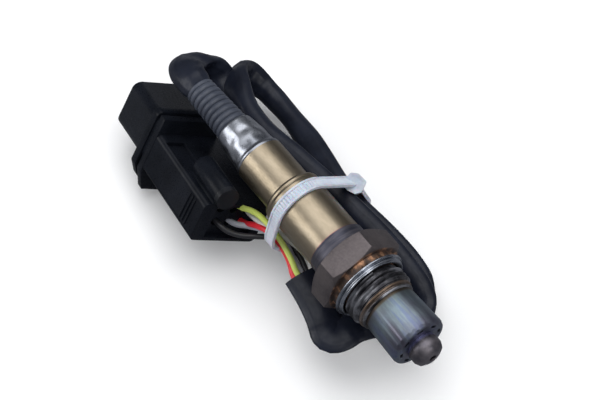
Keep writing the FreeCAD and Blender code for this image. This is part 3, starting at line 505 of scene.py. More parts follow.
FINISHES = {
    "body_steel": body_steel(),
    "thread": thread_steel(),
    "ring_steel": ring_steel(),
    "shell_steel": shell_steel(),
    "tube_steel": tube_steel(),
    "nose_steel": nose_steel(),
    "collar_metal": collar_metal(),
    "boot_rubber": moulded(
        "boot rubber", (0.035, 0.041, 0.058), (0.055, 0.063, 0.085), 0.42, Specular_IOR_Level=0.3
    ),
    "grommet_rubber": moulded("grommet rubber", (0.05, 0.03, 0.025), (0.09, 0.06, 0.05), 0.6),
    "sleeve_black": moulded(
        "cable tubing", (0.006, 0.0075, 0.014), (0.013, 0.016, 0.027), 0.36, Specular_IOR_Level=0.2
    ),
    "housing_plastic": moulded(
        "housing plastic",
        (0.004, 0.005, 0.0075),
        (0.008, 0.0095, 0.014),
        0.3,
        grain_size=0.35,
        depth=0.002,
        Specular_IOR_Level=0.08,
    ),
    "cap_plastic": moulded(
        "resistor cap", (0.006, 0.007, 0.009), (0.012, 0.013, 0.017), 0.34, Specular_IOR_Level=0.2
    ),
    "seal_rubber": moulded("seal rubber", (0.03, 0.032, 0.037), (0.06, 0.062, 0.07), 0.6),
    "lock_plastic": moulded("lock plastic", (0.16, 0.17, 0.19), (0.24, 0.25, 0.27), 0.5),
    "yellow_sheath": moulded("yellow sheath", (0.5, 0.6, 0.1), (0.6, 0.7, 0.17), 0.42),
    "red_sheath": moulded("red sheath", (0.6, 0.012, 0.025), (0.72, 0.03, 0.045), 0.38),
    "grey_sheath": moulded("grey sheath", (0.3, 0.31, 0.36), (0.4, 0.41, 0.46), 0.45),
    "white_sheath": moulded("white sheath", (0.7, 0.7, 0.68), (0.78, 0.78, 0.76), 0.42),
    "black_sheath": moulded("black sheath", (0.01, 0.01, 0.013), (0.02, 0.02, 0.024), 0.42),
    "lead_sheath": moulded("lead sheath", (0.6, 0.6, 0.6), (0.72, 0.72, 0.72), 0.45),
    "ceramic_white": moulded("white ceramic", (0.78, 0.77, 0.74), (0.86, 0.85, 0.83), 0.55),
    "element_ceramic": moulded("element ceramic", (0.7, 0.68, 0.64), (0.8, 0.78, 0.74), 0.4),
    "talc": moulded("pressed talc", (0.55, 0.57, 0.53), (0.68, 0.7, 0.66), 0.9, depth=0.05),
}


def strip_metal(name, dark, light, rough):
    """Thin strip or pin metal with rolling lines."""
    finish, shader = start_finish(name, light, metal=1.0, rough=rough)
    lines = speckle(finish, (200, 2600, 2600), detail=3)
    paint(
        finish,
        shader,
        colour=colours(finish, lines, [(0.35, dark), (0.65, light)]),
        rough=spread(finish, lines, rough - 0.08, rough + 0.1),
    )
    dented(finish, shader, lines, 0.01, 0.4)
    return finish


FINISHES["contact_metal"] = strip_metal(
    "contact strip", (0.5, 0.47, 0.38), (0.68, 0.65, 0.56), 0.3
)
FINISHES["crimp_metal"] = strip_metal("crimp brass", (0.5, 0.38, 0.18), (0.68, 0.54, 0.3), 0.32)
FINISHES["pin_metal"] = strip_metal("tinned pin", (0.55, 0.52, 0.44), (0.74, 0.71, 0.62), 0.28)


def tie_nylon():
    """Milky nylon that lets a little light through."""
    finish, shader = start_finish(
        "milky nylon",
        (0.5, 0.56, 0.66),
        rough=0.34,
        Subsurface_Weight=0.35,
        Subsurface_Scale=0.0012,
        Transmission_Weight=0.12,
        IOR=1.5,
    )
    clouds = speckle(finish, (380, 380, 380), detail=3)
    base = colours(finish, clouds, [(0.35, (0.5, 0.55, 0.64)), (0.65, (0.6, 0.65, 0.73))])
    paint(finish, shader, colour=base, rough=spread(finish, clouds, 0.28, 0.42))
    dented(finish, shader, speckle(finish, (1200, 1200, 1200)), 0.015, 0.4)
    return finish


FINISHES["tie_nylon"] = tie_nylon()
print(len(FINISHES), "finishes")

# %% [markdown]
# ## Dress the exact solids
#
# A solid whose shape is right stays, and only its material slot gets the finish. The record
# says which slot each one has.

# %% Dress the CAD pieces
for part in frame["record"]["subparts"]:
    solid = frame["nodes"][part["node"]]
    for used in solid.material_slots:
        used.material = FINISHES[part["material_slot"]]

# %% [markdown]
# ## Helpers for new pieces
#
# A turned piece starts as a chain of points, one side of its outline, and is spun round the
# sensor's axis. A copy of a solid is merged first, because a CAD mesh is loose triangles.

# %% Helpers for new pieces
SPIN_GAP, DRAWN_GAP, CAD_GAP = 1e-7, 1e-6, 2e-6
FLAT_ANGLE = math.radians(2)
STEEL_EDGE, PLASTIC_EDGE = 0.15, 0.3


def finish_piece(name, shape, slot, finish=None, replaced=(), sharp=35):
    """Makes an object of a bmesh, smooths it, and ties it to the frame."""
    bmesh.ops.recalc_face_normals(shape, faces=shape.faces)
    for face in shape.faces:
        face.smooth = True
    mesh = bpy.data.meshes.new(name)
    shape.to_mesh(mesh)
    shape.free()
    mesh.set_sharp_from_angle(angle=math.radians(sharp))
    mesh.materials.append(finish or FINISHES[slot])
    piece = bpy.data.objects.new(name, mesh)
    bpy.context.collection.objects.link(piece)
    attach(piece, "root")
    if replaced:
        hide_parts(*replaced)
    print(f"{name}: {len(mesh.polygons)} faces")
    return piece


def spun(outline, steps=96, closed=True):
    """A bmesh turned round X from (station, radius) points in millimetres."""
    shape = bmesh.new()
    chain = [shape.verts.new((x * MM, 0, radius * MM)) for x, radius in outline]
    pairs = list(zip(chain, chain[1:])) + ([(chain[-1], chain[0])] if closed else [])
    edges = [shape.edges.new(pair) for pair in pairs]
    bmesh.ops.spin(
        shape,
        geom=chain + edges,
        cent=(0, 0, 0),
        axis=(1, 0, 0),
        dvec=(0, 0, 0),
        angle=math.tau,
        steps=steps,
        use_merge=True,
    )
    bmesh.ops.remove_doubles(shape, verts=shape.verts, dist=SPIN_GAP)
    return shape


def merged_copy(node):
    """A bmesh of a CAD solid with its triangles joined and flat faces made whole."""
    shape = bmesh.new()
    shape.from_mesh(frame["nodes"][node].data)
    bmesh.ops.remove_doubles(shape, verts=shape.verts, dist=CAD_GAP)
    bmesh.ops.dissolve_limit(
        shape, angle_limit=FLAT_ANGLE, verts=shape.verts, edges=shape.edges
    )
    return shape


def soften_edges(shape, width, least_angle=28, where=None):
    """Bevels the edges that are sharper than an angle."""
    chosen = [
        edge
        for edge in shape.edges
        if len(edge.link_faces) == 2
        and edge.calc_face_angle() > math.radians(least_angle)
        and (where is None or where(edge))
    ]
    bmesh.ops.bevel(
        shape,
        geom=chosen,
        offset=width * MM,
        offset_type="OFFSET",
        segments=2,
        profile=0.5,
        affect="EDGES",
        clamp_overlap=True,
        material=-1,
    )


print("helpers ready")

# %% [markdown]
# ## The cable's sleeve
#
# The cable is five thin wires inside soft black tubing that is flat when empty. It leaves the
# boot, folds back under the sensor, runs to the nose and back twice, and ends in an open mouth
# beside the hexagon. Its centreline is a smooth NURBS curve, and its guide points follow the
# solid's route. The tube's section is a flattened ring with two creased edges: how wide, how
# thick and which way it lies changes along the cable, so the tube is lofted ring by ring.

# %% The sleeve's centreline
CURVE_STEPS, ROUND_STEPS = 24, 5
SLEEVE_POINTS = [
    # Out of the boot and round the first bend.
    (-71.8, 0, 0),
    (-80, 0, 0),
    (-84.8, 0.8, -1.0),
    (-88.8, 5.1, -4.5),
    (-88.0, 10.0, -9.5),
    (-83.9, 11.0, -14.5),
    # Under the shell and forward to the hexagon.
    (-73.5, 8.8, -17.8),
    (-58, 9.6, -17.6),
    (-31, 6, -15.5),
    (-14, 5, -19),
    (-6, 5.6, -23),
    # Round below the thread.
    (0, 8.4, -24.4),
    (2, 13.5, -24.6),
    (-0.6, 18.4, -24.2),
    (-7, 20.3, -22.6),
    # Back along the outside.
    (-18, 19.4, -19.4),
    (-34, 16.5, -17),
    (-50, 19.9, -20.4),
    (-63, 22.4, -23.2),
    (-74.5, 23, -24.4),
    # The second bend, beside the boot.
    (-82.2, 21.8, -22.6),
    (-84.8, 18.2, -17.6),
    (-81.6, 14.2, -12.8),
    (-75, 11.4, -10),
    # Forward again, close to the shell.
    (-64, 9, -9),
    (-48, 9.9, -8.2),
    (-30, 12.3, -8),
    (-14.2, 13.9, -9),
    (-4, 14.4, -11),
    # Across under the thread and folded back to the mouth.
    (4, 14.2, -13.6),
    (8.6, 10.8, -14.6),
    (6.6, 4, -14.8),
    (1, -2.5, -14.6),
    (-0.3, -6.5, -14.5),
    (-0.2, -9.8, -14.4),
    (-1.4, -12.9, -14.4),
    (-5.4, -10.8, -14.4),
    (-13, -8.9, -14.2),
    (-20.4, -8.2, -13.4),
]


def guided_curve(name, points, radius=0.0):
    """A NURBS curve whose control points are given in millimetres."""
    data = bpy.data.curves.new(name, "CURVE")
    data.dimensions = "3D"
    data.resolution_u = CURVE_STEPS
    data.bevel_depth = radius * MM
    data.bevel_resolution = ROUND_STEPS
    data.use_fill_caps = True
    spline = data.splines.new("NURBS")
    spline.points.add(len(points) - 1)
    for point, place in zip(spline.points, points):
        point.co = (*(Vector(place) * MM), 1)
    spline.order_u = 3
    spline.use_endpoint_u = True
    return bpy.data.objects.new(name, data)


def points_of(curve):
    """The places that a curve passes through."""
    mesh = bpy.data.meshes.new_from_object(curve)
    places = [vertex.co.copy() for vertex in mesh.vertices]
    bpy.data.meshes.remove(mesh)
    return places


def length_of(places):
    """The length of a chain of places."""
    return sum((b - a).length for a, b in zip(places, places[1:]))


sleeve_line = points_of(guided_curve("sleeve guide", SLEEVE_POINTS))

# %% [markdown]
# The keys below say how the tubing lies at places along the cable. Each has a share of the
# length, half the width, half the thickness, and the direction that the width follows, or FLAT.
# Over both bends the tubing is pulled wide, along the sensor it is a thick lens, and it lies
# flat where it is folded back to the mouth.

# %% Loft the sleeve
FLAT = None
SECTION_KEYS = [
    (0.0, 3.2, 3.2, (0, 0.9, 0.4)),
    (0.01, 3.5, 3.2, (0, 0.9, 0.4)),
    (0.022, 4.5, 2.7, (0.1, 0.9, 0.3)),
    (0.045, 5.2, 2.3, (0.7, 0.65, 0.15)),
    (0.085, 4.9, 2.4, (0.6, 0.75, 0)),
    (0.12, 4.1, 2.5, (0.1, 1, 0.2)),
    (0.16, 3.7, 2.6, (0, 1, 0.2)),
    (0.27, 3.6, 2.7, (0, 1, 0.3)),
    (0.4, 3.7, 2.6, (0, 0.6, 0.8)),
    (0.505, 3.9, 2.6, (0, 0.8, 0.5)),
    (0.545, 3.0, 2.8, (0, 0.85, 0.45)),
    (0.57, 3.3, 2.7, (0, 0.85, 0.45)),
    (0.6, 4.6, 2.3, (0, 0.85, 0.5)),
    (0.63, 4.4, 2.3, (0, 0.85, 0.5)),
    (0.66, 3.0, 2.8, (0, 0.8, 0.6)),
    (0.68, 3.0, 2.8, (0, 0.8, 0.6)),
    (0.72, 3.9, 2.5, (0, 0.8, 0.6)),
    (0.87, 3.6, 2.6, (0, 0.8, 0.6)),
    (0.9, 3.6, 2.6, FLAT),
    (0.925, 4.8, 2.1, FLAT),
    (0.955, 5.2, 1.8, FLAT),
    (1.0, 4.9, 1.8, FLAT),
]
RING_COUNT, RING_POINTS = 640, 56
# The lens: how round it still is, how far its faces fall away, and the seam beside each edge.
ROUND_RATIO, LENS_RATIO = 1.05, 0.6
EDGE_FALL, FACE_FALL = 0.16, 0.12
SEAM_HEIGHT, SEAM_PLACE, SEAM_WIDTH = 0.14, 0.62, 0.06
# The pleats: how high, how close, and over how many rings and what angle a turn is judged.
PLEAT_HEIGHT, PLEAT_RATE, TURN_RINGS, SHARP_TURN = 0.16, 0.54, 10, 0.5


def across_at(direction, ahead):
    """A key's width direction. The width of tubing that lies FLAT is level."""
    if direction is FLAT:
        return Vector((0, 0, 1)).cross(ahead).normalized()
    return Vector(direction)


def key_at(share, ahead):
    """The section's half width, half thickness and width direction at a share of the length."""
    for before, after in zip(SECTION_KEYS, SECTION_KEYS[1:]):
        begin, wide_before, thick_before, before_direction = before
        end, wide_after, thick_after, after_direction = after
        if share <= end:
            break
    t = min(1.0, (share - begin) / (end - begin))
    t = t * t * (3 - 2 * t)
    wide = wide_before + (wide_after - wide_before) * t
    thick = thick_before + (thick_after - thick_before) * t
    across = across_at(before_direction, ahead).lerp(across_at(after_direction, ahead), t)
    return wide, thick, across


def evenly(places, count):
    """Places the same distance apart along a chain."""
    step, result, done = length_of(places) / (count - 1), [places[0]], 0.0
    for a, b in zip(places, places[1:]):
        run = (b - a).length
        while len(result) < count and len(result) * step <= done + run + 1e-12:
            result.append(a.lerp(b, (len(result) * step - done) / run))
        done += run
    while len(result) < count:
        result.append(places[-1])
    return result


def lens_ring(shape, centre, ahead, wide, thick, across, pleat):
    """A ring of the tubing's section: rounded faces, two creased edges and a raised seam."""
    across = (across - ahead * across.dot(ahead)).normalized()
    up = ahead.cross(across).normalized()
    flat = min(1.0, max(0.0, (wide / thick - ROUND_RATIO) / LENS_RATIO))
    ring = []
    for number in range(RING_POINTS):
        angle = math.tau * number / RING_POINTS
        c, s = math.cos(angle), math.sin(angle)
        seam = math.exp(-(((abs(c) - SEAM_PLACE) / SEAM_WIDTH) ** 2))
        x = wide * c
        y = thick * s * (1 - EDGE_FALL * flat * abs(c) ** 6) * (1 - FACE_FALL * flat * abs(c))
        y += SEAM_HEIGHT * flat * math.copysign(1, s) * seam
        y *= 1 + pleat * (0.5 + 0.5 * c)
        ring.append(shape.verts.new(centre + (across * x + up * y) * MM))
    return ring


def lofted(places, section):
    """A bmesh of rings along places, joined ring to ring, with pleats where it turns."""
    shape = bmesh.new()
    rings = []
    last = len(places) - 1
    for number, place in enumerate(places):
        ahead = (places[min(number + 1, last)] - places[max(number - 1, 0)]).normalized()
        turn = 0
        if TURN_RINGS <= number <= last - TURN_RINGS:
            behind, beyond = places[number - TURN_RINGS], places[number + TURN_RINGS]
            turn = (beyond - place).angle(place - behind)
        pleat = PLEAT_HEIGHT * min(1.0, turn / SHARP_TURN) ** 2 * math.sin(number * PLEAT_RATE)
        rings.append(lens_ring(shape, place, ahead, *section(number / last, ahead), pleat))
    for one, two in zip(rings, rings[1:]):
        for k in range(RING_POINTS):
            n = (k + 1) % RING_POINTS
            shape.faces.new((one[k], one[n], two[n], two[k]))
    return shape, rings


sleeve_places = evenly(sleeve_line, RING_COUNT)
sleeve_shape, sleeve_rings = lofted(sleeve_places, key_at)
print(len(sleeve_rings), "rings")

# %% [markdown]
# The open mouth shows the tubing's wall. The last ring is drawn in a little and pushed back
# into the tube, which gives the wall its thickness and leaves a dark hollow round the wires.
# Each step below has a move along the cable and a size, both from the step before.

# %% Finish the sleeve
MOUTH_STEPS = ((0.0, 0.87), (-5.5, 0.84), (-5.6, 0.3))

mouth_edge = [
    edge for edge in sleeve_shape.edges if edge.is_boundary and edge.verts[0] in sleeve_rings[-1]
]
mouth_ahead = (sleeve_places[-1] - sleeve_places[-2]).normalized()
for depth, size in MOUTH_STEPS:
    grown = bmesh.ops.extrude_edge_only(sleeve_shape, edges=mouth_edge)["geom"]
    rim = [item for item in grown if isinstance(item, bmesh.types.BMVert)]
    new_edges = [item for item in grown if isinstance(item, bmesh.types.BMEdge)]
    mouth_edge = [edge for edge in new_edges if edge.is_boundary]
    middle_now = sum((v.co for v in rim), Vector()) / len(rim)
    for vertex in rim:
        vertex.co = middle_now + (vertex.co - middle_now) * size
        vertex.co += mouth_ahead * depth * MM
sleeve_shape.faces.new(sleeve_rings[0])
bmesh.ops.contextual_create(sleeve_shape, geom=mouth_edge)
sleeve = finish_piece(
    "sleeve_tubing", sleeve_shape, "sleeve_black", replaced=["cable_sleeve"], sharp=60
)

# %% [markdown]
# ## The wires
#
# Five thin wires come out of the mouth, pass under the tie beside the shell and go into the
# connector's seals. Each is one NURBS curve with a round bevel.

# %% Draw the wires
WIRE_RADIUS = 0.8
WIRES = {
    "yellow": [
        (-16, -9.2, -13.7),
        (-20.8, -9.2, -12.9),
        (-25.1, -8, -10.9),
        (-29.7, -7.6, -9),
        (-35.1, -7.9, -6.5),
        (-41.2, -8.1, -8),
        (-46.4, -10, -10.9),
        (-52.5, -10.2, -13),
    ],
    "red": [
        (-16, -10, -14),
        (-20.8, -10.5, -13.9),
        (-25, -8.4, -12.5),
        (-29.5, -7.9, -10.6),
        (-34.3, -8.4, -9),
        (-39.8, -9.3, -12),
        (-44.8, -10.4, -17),
        (-51.1, -9.5, -18.8),
    ],
    "white": [
        (-16, -7.2, -13.6),
        (-19.5, -5.1, -13.5),
        (-24.8, -3.2, -13.2),
        (-31.5, -6.4, -8.6),
        (-37.2, -7.9, -10.2),
        (-41, -8.2, -11.5),
        (-45.2, -7.8, -13.9),
        (-51.5, -6.9, -15.3),
    ],
    "grey": [
        (-16, -8.2, -14.2),
        (-20.5, -7.4, -14.4),
        (-25.8, -6.6, -14.1),
        (-31.5, -6, -10.8),
        (-37.8, -8.6, -12.4),
        (-41.5, -9.6, -15),
        (-45.8, -13.7, -15.1),
        (-52.1, -12.8, -16.5),
    ],
    "black": [
        (-16, -7.6, -14.8),
        (-20, -6.4, -14.3),
        (-25.3, -4.9, -13.4),
        (-31.5, -4.9, -12.9),
        (-37.3, -8.2, -16.2),
        (-42, -14.5, -15.6),
        (-46.8, -17.1, -12.8),
        (-53.1, -16.2, -14.1),
    ],
}
for colour, points in WIRES.items():
    wire = guided_curve(f"wire_{colour}_sheath", points, radius=WIRE_RADIUS)
    bpy.context.collection.objects.link(wire)
    wire.data.materials.append(FINISHES[f"{colour}_sheath"])
    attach(wire, "root")
    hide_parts(f"wire_{colour}")
    long = length_of(points_of(guided_curve(f"{colour} guide", points)))
    print(f"{colour} wire {long * 1000:.1f} mm")

# %% [markdown]
# ## Body and thread
#
# The solid body has a plain cylinder where the thread is. The copy keeps its hexagon, with
# softened edges, and its collars, and loses the cylinder. The thread is a ridge swept round the
# axis while it moves forward, which the spin operator does when it is given a step along X.

# %% Body with soft edges
HEXAGON_REAR, HEXAGON_FRONT, BODY_CUT = -11.3, -3.4, -0.4


def on_hexagon(edge):
    """Whether an edge lies between the hexagon's two faces."""
    return all(HEXAGON_REAR * MM < v.co.x < HEXAGON_FRONT * MM for v in edge.verts)


body = merged_copy("hex_body")
soften_edges(body, STEEL_EDGE, where=on_hexagon)
bmesh.ops.bisect_plane(
    body,
    geom=body.verts[:] + body.edges[:] + body.faces[:],
    plane_co=(BODY_CUT * MM, 0, 0),
    plane_no=(1, 0, 0),
    clear_outer=True,
)
finish_piece("body_and_hexagon", body, "body_steel", replaced=["hex_body"])

# %% Thread
PITCH, CREST, ROOT, BORE = 1.5, 9.0, 8.2, 5.2
TURNS, STEPS_A_TURN = 2.9, 64
LAND_END = 6.2
CORE_OUTLINE = [
    (-0.6, BORE),
    (-0.6, 8.3),
    (0.2, ROOT),
    (4.6, ROOT),
    # A groove, a rounded ring and a second groove.
    (4.75, 7.9),
    (4.95, 7.9),
    (5.1, 8.2),
    (5.3, 8.38),
    (5.6, 8.38),
    (5.8, 8.2),
    (5.9, 7.85),
    (6.1, 7.8),
    # The last ring, on which the outer tube sits.
    (LAND_END, 7.95),
    (6.5, 8.05),
    (6.8, 7.95),
    (7.0, 7.6),
    (7.02, 7.3),
    (LAND_END, BORE),
]
RIDGE_OUTLINE = [
    (-0.55, ROOT - 0.25),
    (-0.1, CREST - 0.12),
    (0.02, CREST),
    (0.18, CREST),
    (0.3, CREST - 0.12),
    (0.75, ROOT - 0.25),
]

core = spun(CORE_OUTLINE)
ridge = [core.verts.new(Vector((x, 0, radius)) * MM) for x, radius in RIDGE_OUTLINE]
ridge_edges = [core.edges.new((a, b)) for a, b in zip(ridge, ridge[1:] + ridge[:1])]
bmesh.ops.spin(
    core,
    geom=ridge_edges + ridge,
    cent=(0, 0, 0),
    axis=(1, 0, 0),
    dvec=(PITCH * MM / STEPS_A_TURN, 0, 0),
    angle=math.tau * TURNS,
    steps=int(STEPS_A_TURN * TURNS),
)
open_ends = [edge for edge in core.edges if edge.is_boundary]
bmesh.ops.holes_fill(core, edges=open_ends, sides=8)
finish_piece("thread_with_paste", core, "body_steel", finish=FINISHES["thread"], sharp=50)

# %% [markdown]
# ## The double tube
#
# The drawn tube is a copy of the solid that widens a little towards its end and is a little
# longer. The inner tube's neck and dome are fuller than the solid's and sit further back, close
# to the outer tube's end.

# %% Tube and nose
TUBE_START, TUBE_RUN, TUBE_STRETCH, TUBE_FLARE = 7, 11.9, 1.1, 0.075
NOSE_START, NOSE_RUN, NOSE_BACK = 17, 1.5, 1.3
DOME_START, NECK_SWELL, DOME_SWELL = 22, 0.22, 0.15


def reshaped(name, node, slot, places):
    """A smooth copy of a solid whose points are moved along and away from the axis."""
    shape = merged_copy(node)
    for vertex in shape.verts:
        x, factor = places(vertex.co.x / MM)
        vertex.co = Vector((x * MM, vertex.co.y * factor, vertex.co.z * factor))
    return finish_piece(name, shape, slot, replaced=[node], sharp=32)


def tube_places(x):
    """The new station and the widening factor at a station of the outer tube."""
    t = min(1.0, max(0.0, (x - TUBE_START) / TUBE_RUN))
    return x + TUBE_STRETCH * t, 1 + TUBE_FLARE * t


def nose_places(x):
    """The same for the inner tube, whose neck swells more than its dome."""
    t = min(1.0, max(0.0, (x - NOSE_START) / NOSE_RUN))
    swell = NECK_SWELL if x < DOME_START else DOME_SWELL
    return x - NOSE_BACK * t, 1 + swell * t


reshaped("flared_tube", "outer_tube", "tube_steel", tube_places)
reshaped("domed_nose", "inner_tube", "nose_steel", nose_places)

# %% [markdown]
# ## The folded ring
#
# The sealing ring is a strip of steel rolled round and folded on itself, so its edge shows
# several thin layers. Its outline is drawn as a flat S and turned round the axis.

# %% Folded ring
FOLD_OUTLINE = [
    (-1.9, 8.55),
    (-1.9, 10.3),
    (-1.84, 10.58),
    (-1.66, 10.7),
    (-1.42, 10.7),
    (-1.26, 10.6),
    (-1.2, 10.4),
    (-1.24, 10.05),
    (-1.12, 9.9),
    (-0.98, 9.98),
    (-0.84, 10.12),
    (-0.62, 10.16),
    (-0.48, 10.06),
    (-0.42, 9.92),
    (-0.34, 9.92),
    (-0.24, 9.99),
    (-0.1, 9.95),
    (0.0, 9.72),
    (0.0, 9.3),
    (-0.25, 9.0),
    (-0.9, 8.55),
]

finish_piece(
    "folded_ring",
    spun(FOLD_OUTLINE, steps=128),
    "ring_steel",
    replaced=["gasket_ring"],
    sharp=60,
)

# %% [markdown]
# ## The crimped collar
#
# A tool with eight jaws pressed this collar on the seal, which left two rows of shallow dents
# with soft ridges between them. The collar is spun as a fine grid, and each point is then drawn
# in by the dents near it. The collar's inner lip stays round.

# %% Crimped collar
JAWS, DENT_DEPTH, DENT_REACH, ROUND_SHARE = 8, 0.3, 1.24, 0.8
DENT_ROWS = ((-52.6, 0.0), (-56.4, 0.5))
LIP_RADIUS, LONG_EDGE = 4.5, 0.9
COLLAR = [
    (-49.1, 6.85),
    (-49.35, 6.98),
    (-49.7, 7.0),
    (-50.05, 6.9),
    (-50.3, 6.62),
    (-50.9, 6.55),
    (-52.5, 6.45),
    (-54.2, 6.3),
    (-56, 6.1),
    (-57.8, 5.85),
    (-59.2, 5.65),
    (-60.3, 5.5),
    (-60.75, 5.4),
    (-60.9, 5.2),
    (-60.9, 4.3),
]

collar = spun(COLLAR, steps=128, closed=False)
long_edges = [
    edge
    for edge in collar.edges
    if abs(edge.verts[0].co.x - edge.verts[1].co.x) > LONG_EDGE * MM
]
bmesh.ops.subdivide_edges(collar, edges=long_edges, cuts=3, use_grid_fill=True)
for vertex in collar.verts:
    x, radius = vertex.co.x / MM, math.hypot(vertex.co.y, vertex.co.z) / MM
    angle = math.atan2(vertex.co.z, vertex.co.y)
    pressed = 0.0
    for row, shift in DENT_ROWS:
        turn = (angle / math.tau * JAWS + shift) % 1 - 0.5
        aside = turn * math.tau / JAWS * radius * ROUND_SHARE
        pressed += DENT_DEPTH * math.exp(-((x - row) ** 2 + aside**2) / DENT_REACH**2)
    if radius > LIP_RADIUS:
        factor = (radius - pressed) / radius
        vertex.co.y *= factor
        vertex.co.z *= factor
finish_piece("beaten_collar", collar, "collar_metal", replaced=["crimp_collar"], sharp=50)

# %% [markdown]
# ## The corrugated boot
#
# The boot is moulded rubber. Round ribs let it bend without a kink. Its outline goes up and
# down once for each rib, with a narrow groove and a broad crest, so it is closer to a row of
# beads than to a wave.

# %% Corrugated boot
RIBS, BOOT_FRONT, BOOT_REAR = 8, -59.6, -76.8
RIBS_FRONT, RIBS_REAR = -61.2, BOOT_REAR + 1.1
CREST_AT_FRONT, CREST_TAPER = 4.8, 0.55
# Along one rib as a share of its pitch, and how far under its crest.
RIB_OUTLINE = [
    (0.0, -0.5),
    (0.06, -0.42),
    (0.14, -0.16),
    (0.28, -0.02),
    (0.5, 0.0),
    (0.72, -0.03),
    (0.86, -0.18),
    (0.94, -0.42),
]

outline = [(BOOT_FRONT + 0.8, 3.6), (BOOT_FRONT + 0.8, 4.75)]
rib_pitch = (RIBS_FRONT - RIBS_REAR) / RIBS
for rib in range(RIBS):
    begin = RIBS_FRONT - rib * rib_pitch
    crest = CREST_AT_FRONT - CREST_TAPER * rib / (RIBS - 1)
    outline += [(begin - share * rib_pitch, crest + lift) for share, lift in RIB_OUTLINE]
outline += [
    (RIBS_REAR, 3.78),
    (RIBS_REAR - 0.2, 4.05),
    (BOOT_REAR + 0.25, 4.1),
    (BOOT_REAR + 0.06, 4.02),
    (BOOT_REAR, 3.85),
    (BOOT_REAR, 3.25),
    (BOOT_REAR + 2, 3.25),
]
finish_piece(
    "ribbed_boot",
    spun(outline, closed=False),
    "boot_rubber",
    replaced=["corrugated_boot"],
    sharp=50,
)

# %% [markdown]
# ## The connector's housing
#
# The housing is the exact solid with its edges softened, because a moulded edge always has a
# small radius and that thin bright line is what shows the shape of a black part.

# %% Housing with soft edges
housing = merged_copy("connector_housing")
soften_edges(housing, PLASTIC_EDGE)
finish_piece(
    "moulded_housing", housing, "housing_plastic", replaced=["connector_housing"], sharp=38
)

# %% [markdown]
# ## The cable tie
#
# The strap has two smooth rails and a ladder of small teeth between them, which the pawl in the
# head holds. The line it follows is read from the solid: cut through its middle, the solid
# shows an outer and an inner loop, and the strap is built outwards from the inner one. Every
# third ring of the strap stands a little higher, which makes the ladder's rungs. The head is
# turned so that its window looks at the camera.

# %% Line of the strap
TIE_STATION = -30.9
RING_STEP, RINGS_A_RUNG = 0.28, 3


def middle_of(edge):
    """Twice an edge's middle, which sorts edges in the same way each time the script runs."""
    return tuple(edge.verts[0].co + edge.verts[1].co)


solid_tie = merged_copy("cable_tie")
cut = bmesh.ops.bisect_plane(
    solid_tie,
    geom=solid_tie.verts[:] + solid_tie.edges[:] + solid_tie.faces[:],
    plane_co=(TIE_STATION * MM, 0, 0),
    plane_no=(1, 0, 0),
)["geom_cut"]
left = sorted((item for item in cut if isinstance(item, bmesh.types.BMEdge)), key=middle_of)
loops = []
while left:
    edge = left.pop()
    chain = [edge.verts[0], edge.verts[1]]
    step = edge
    while step:
        step = next((other for other in left if chain[-1] in other.verts), None)
        if step:
            chain.append(step.other_vert(chain[-1]))
            left.remove(step)
    loops.append([vertex.co.copy() for vertex in chain])
solid_tie.free()
loops.sort(key=length_of, reverse=True)
print("loops in mm:", [round(length_of(loop) * 1000, 1) for loop in loops])
inner = loops[1]
strap_count = int(length_of(inner) / (RING_STEP * MM)) // RINGS_A_RUNG * RINGS_A_RUNG
strap_line = evenly(inner, strap_count + 1)[:-1]
middle_of_loop = sum(strap_line, Vector()) / len(strap_line)

# %% Strap
STRAP_TOP, RUNG_TOP, LADDER_FLOOR = 1.06, 1.0, 0.72


def strap_section(ladder):
    """Points (sideways, outwards) of the strap's section, with the ladder at a height."""
    rail = [(1.75, 0.12), (1.75, 0.95), (1.65, STRAP_TOP), (1.2, STRAP_TOP), (1.05, ladder)]
    return [(-x, h) for x, h in rail] + rail[::-1] + [(1.6, 0.02), (-1.6, 0.02)]


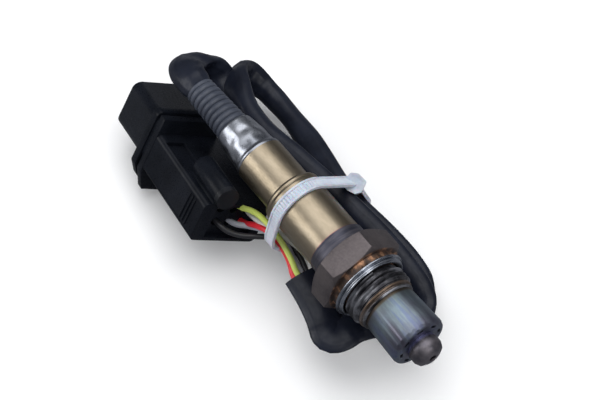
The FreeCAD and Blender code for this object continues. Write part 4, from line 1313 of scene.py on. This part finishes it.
tie = bmesh.new()
strap_rings = []
for number, place in enumerate(strap_line):
    ahead = (strap_line[(number + 2) % strap_count] - strap_line[number - 2]).normalized()
    outwards = Vector((1, 0, 0)).cross(ahead)
    if outwards.dot(place - middle_of_loop) < 0:
        outwards.negate()
    section = strap_section(LADDER_FLOOR if number % RINGS_A_RUNG else RUNG_TOP)
    strap_rings.append(
        [tie.verts.new(place + Vector((x, 0, 0)) * MM + outwards * h * MM) for x, h in section]
    )
for one, two in zip(strap_rings, strap_rings[1:] + strap_rings[:1]):
    for k in range(len(one)):
        n = (k + 1) % len(one)
        tie.faces.new((one[k], one[n], two[n], two[k]))
print(strap_count, "rings of the strap")

# %% Head
HEAD_MIDDLE = Vector((-30.4, 16.9, -4.9)) * MM
HEAD_BACK, HEAD_DEPTH = 2, 3.8
WINDOW_RIM, WINDOW_DEPTH = 1.1, 0.5
# Seen from the camera, to the right and up from the head's middle.
HEAD_OUTLINE = [
    (-0.8, 2.9),
    (1.3, 2.7),
    (3.5, 0.5),
    (2.1, -2.4),
    (0.3, -2.9),
    (-1.6, -1.9),
    (-3.2, -0.3),
    (-2.4, 1.1),
]

head = bmesh.new()
back = [picture_right * a + picture_up * b - to_camera * HEAD_BACK for a, b in HEAD_OUTLINE]
slab = head.faces.new([head.verts.new(HEAD_MIDDLE + place * MM) for place in back])
raised = bmesh.ops.extrude_face_region(head, geom=[slab])["geom"]
for item in raised:
    if isinstance(item, bmesh.types.BMVert):
        item.co += to_camera * HEAD_DEPTH * MM
bmesh.ops.recalc_face_normals(head, faces=head.faces)
top = max(head.faces, key=lambda face: face.calc_center_median().dot(to_camera))
bmesh.ops.inset_individual(head, faces=[top], thickness=WINDOW_RIM * MM, depth=0)
bmesh.ops.translate(head, verts=top.verts, vec=-to_camera * WINDOW_DEPTH * MM)
soften_edges(head, PLASTIC_EDGE, least_angle=20)
for face in head.faces:
    tie.faces.new([tie.verts.new(vertex.co) for vertex in face.verts])
head.free()
bmesh.ops.remove_doubles(tie, verts=tie.verts, dist=DRAWN_GAP)
finish_piece("ladder_tie", tie, "tie_nylon", replaced=["cable_tie"], sharp=40)

# %% [markdown]
# ## Finish
#

# %% Finish
import json
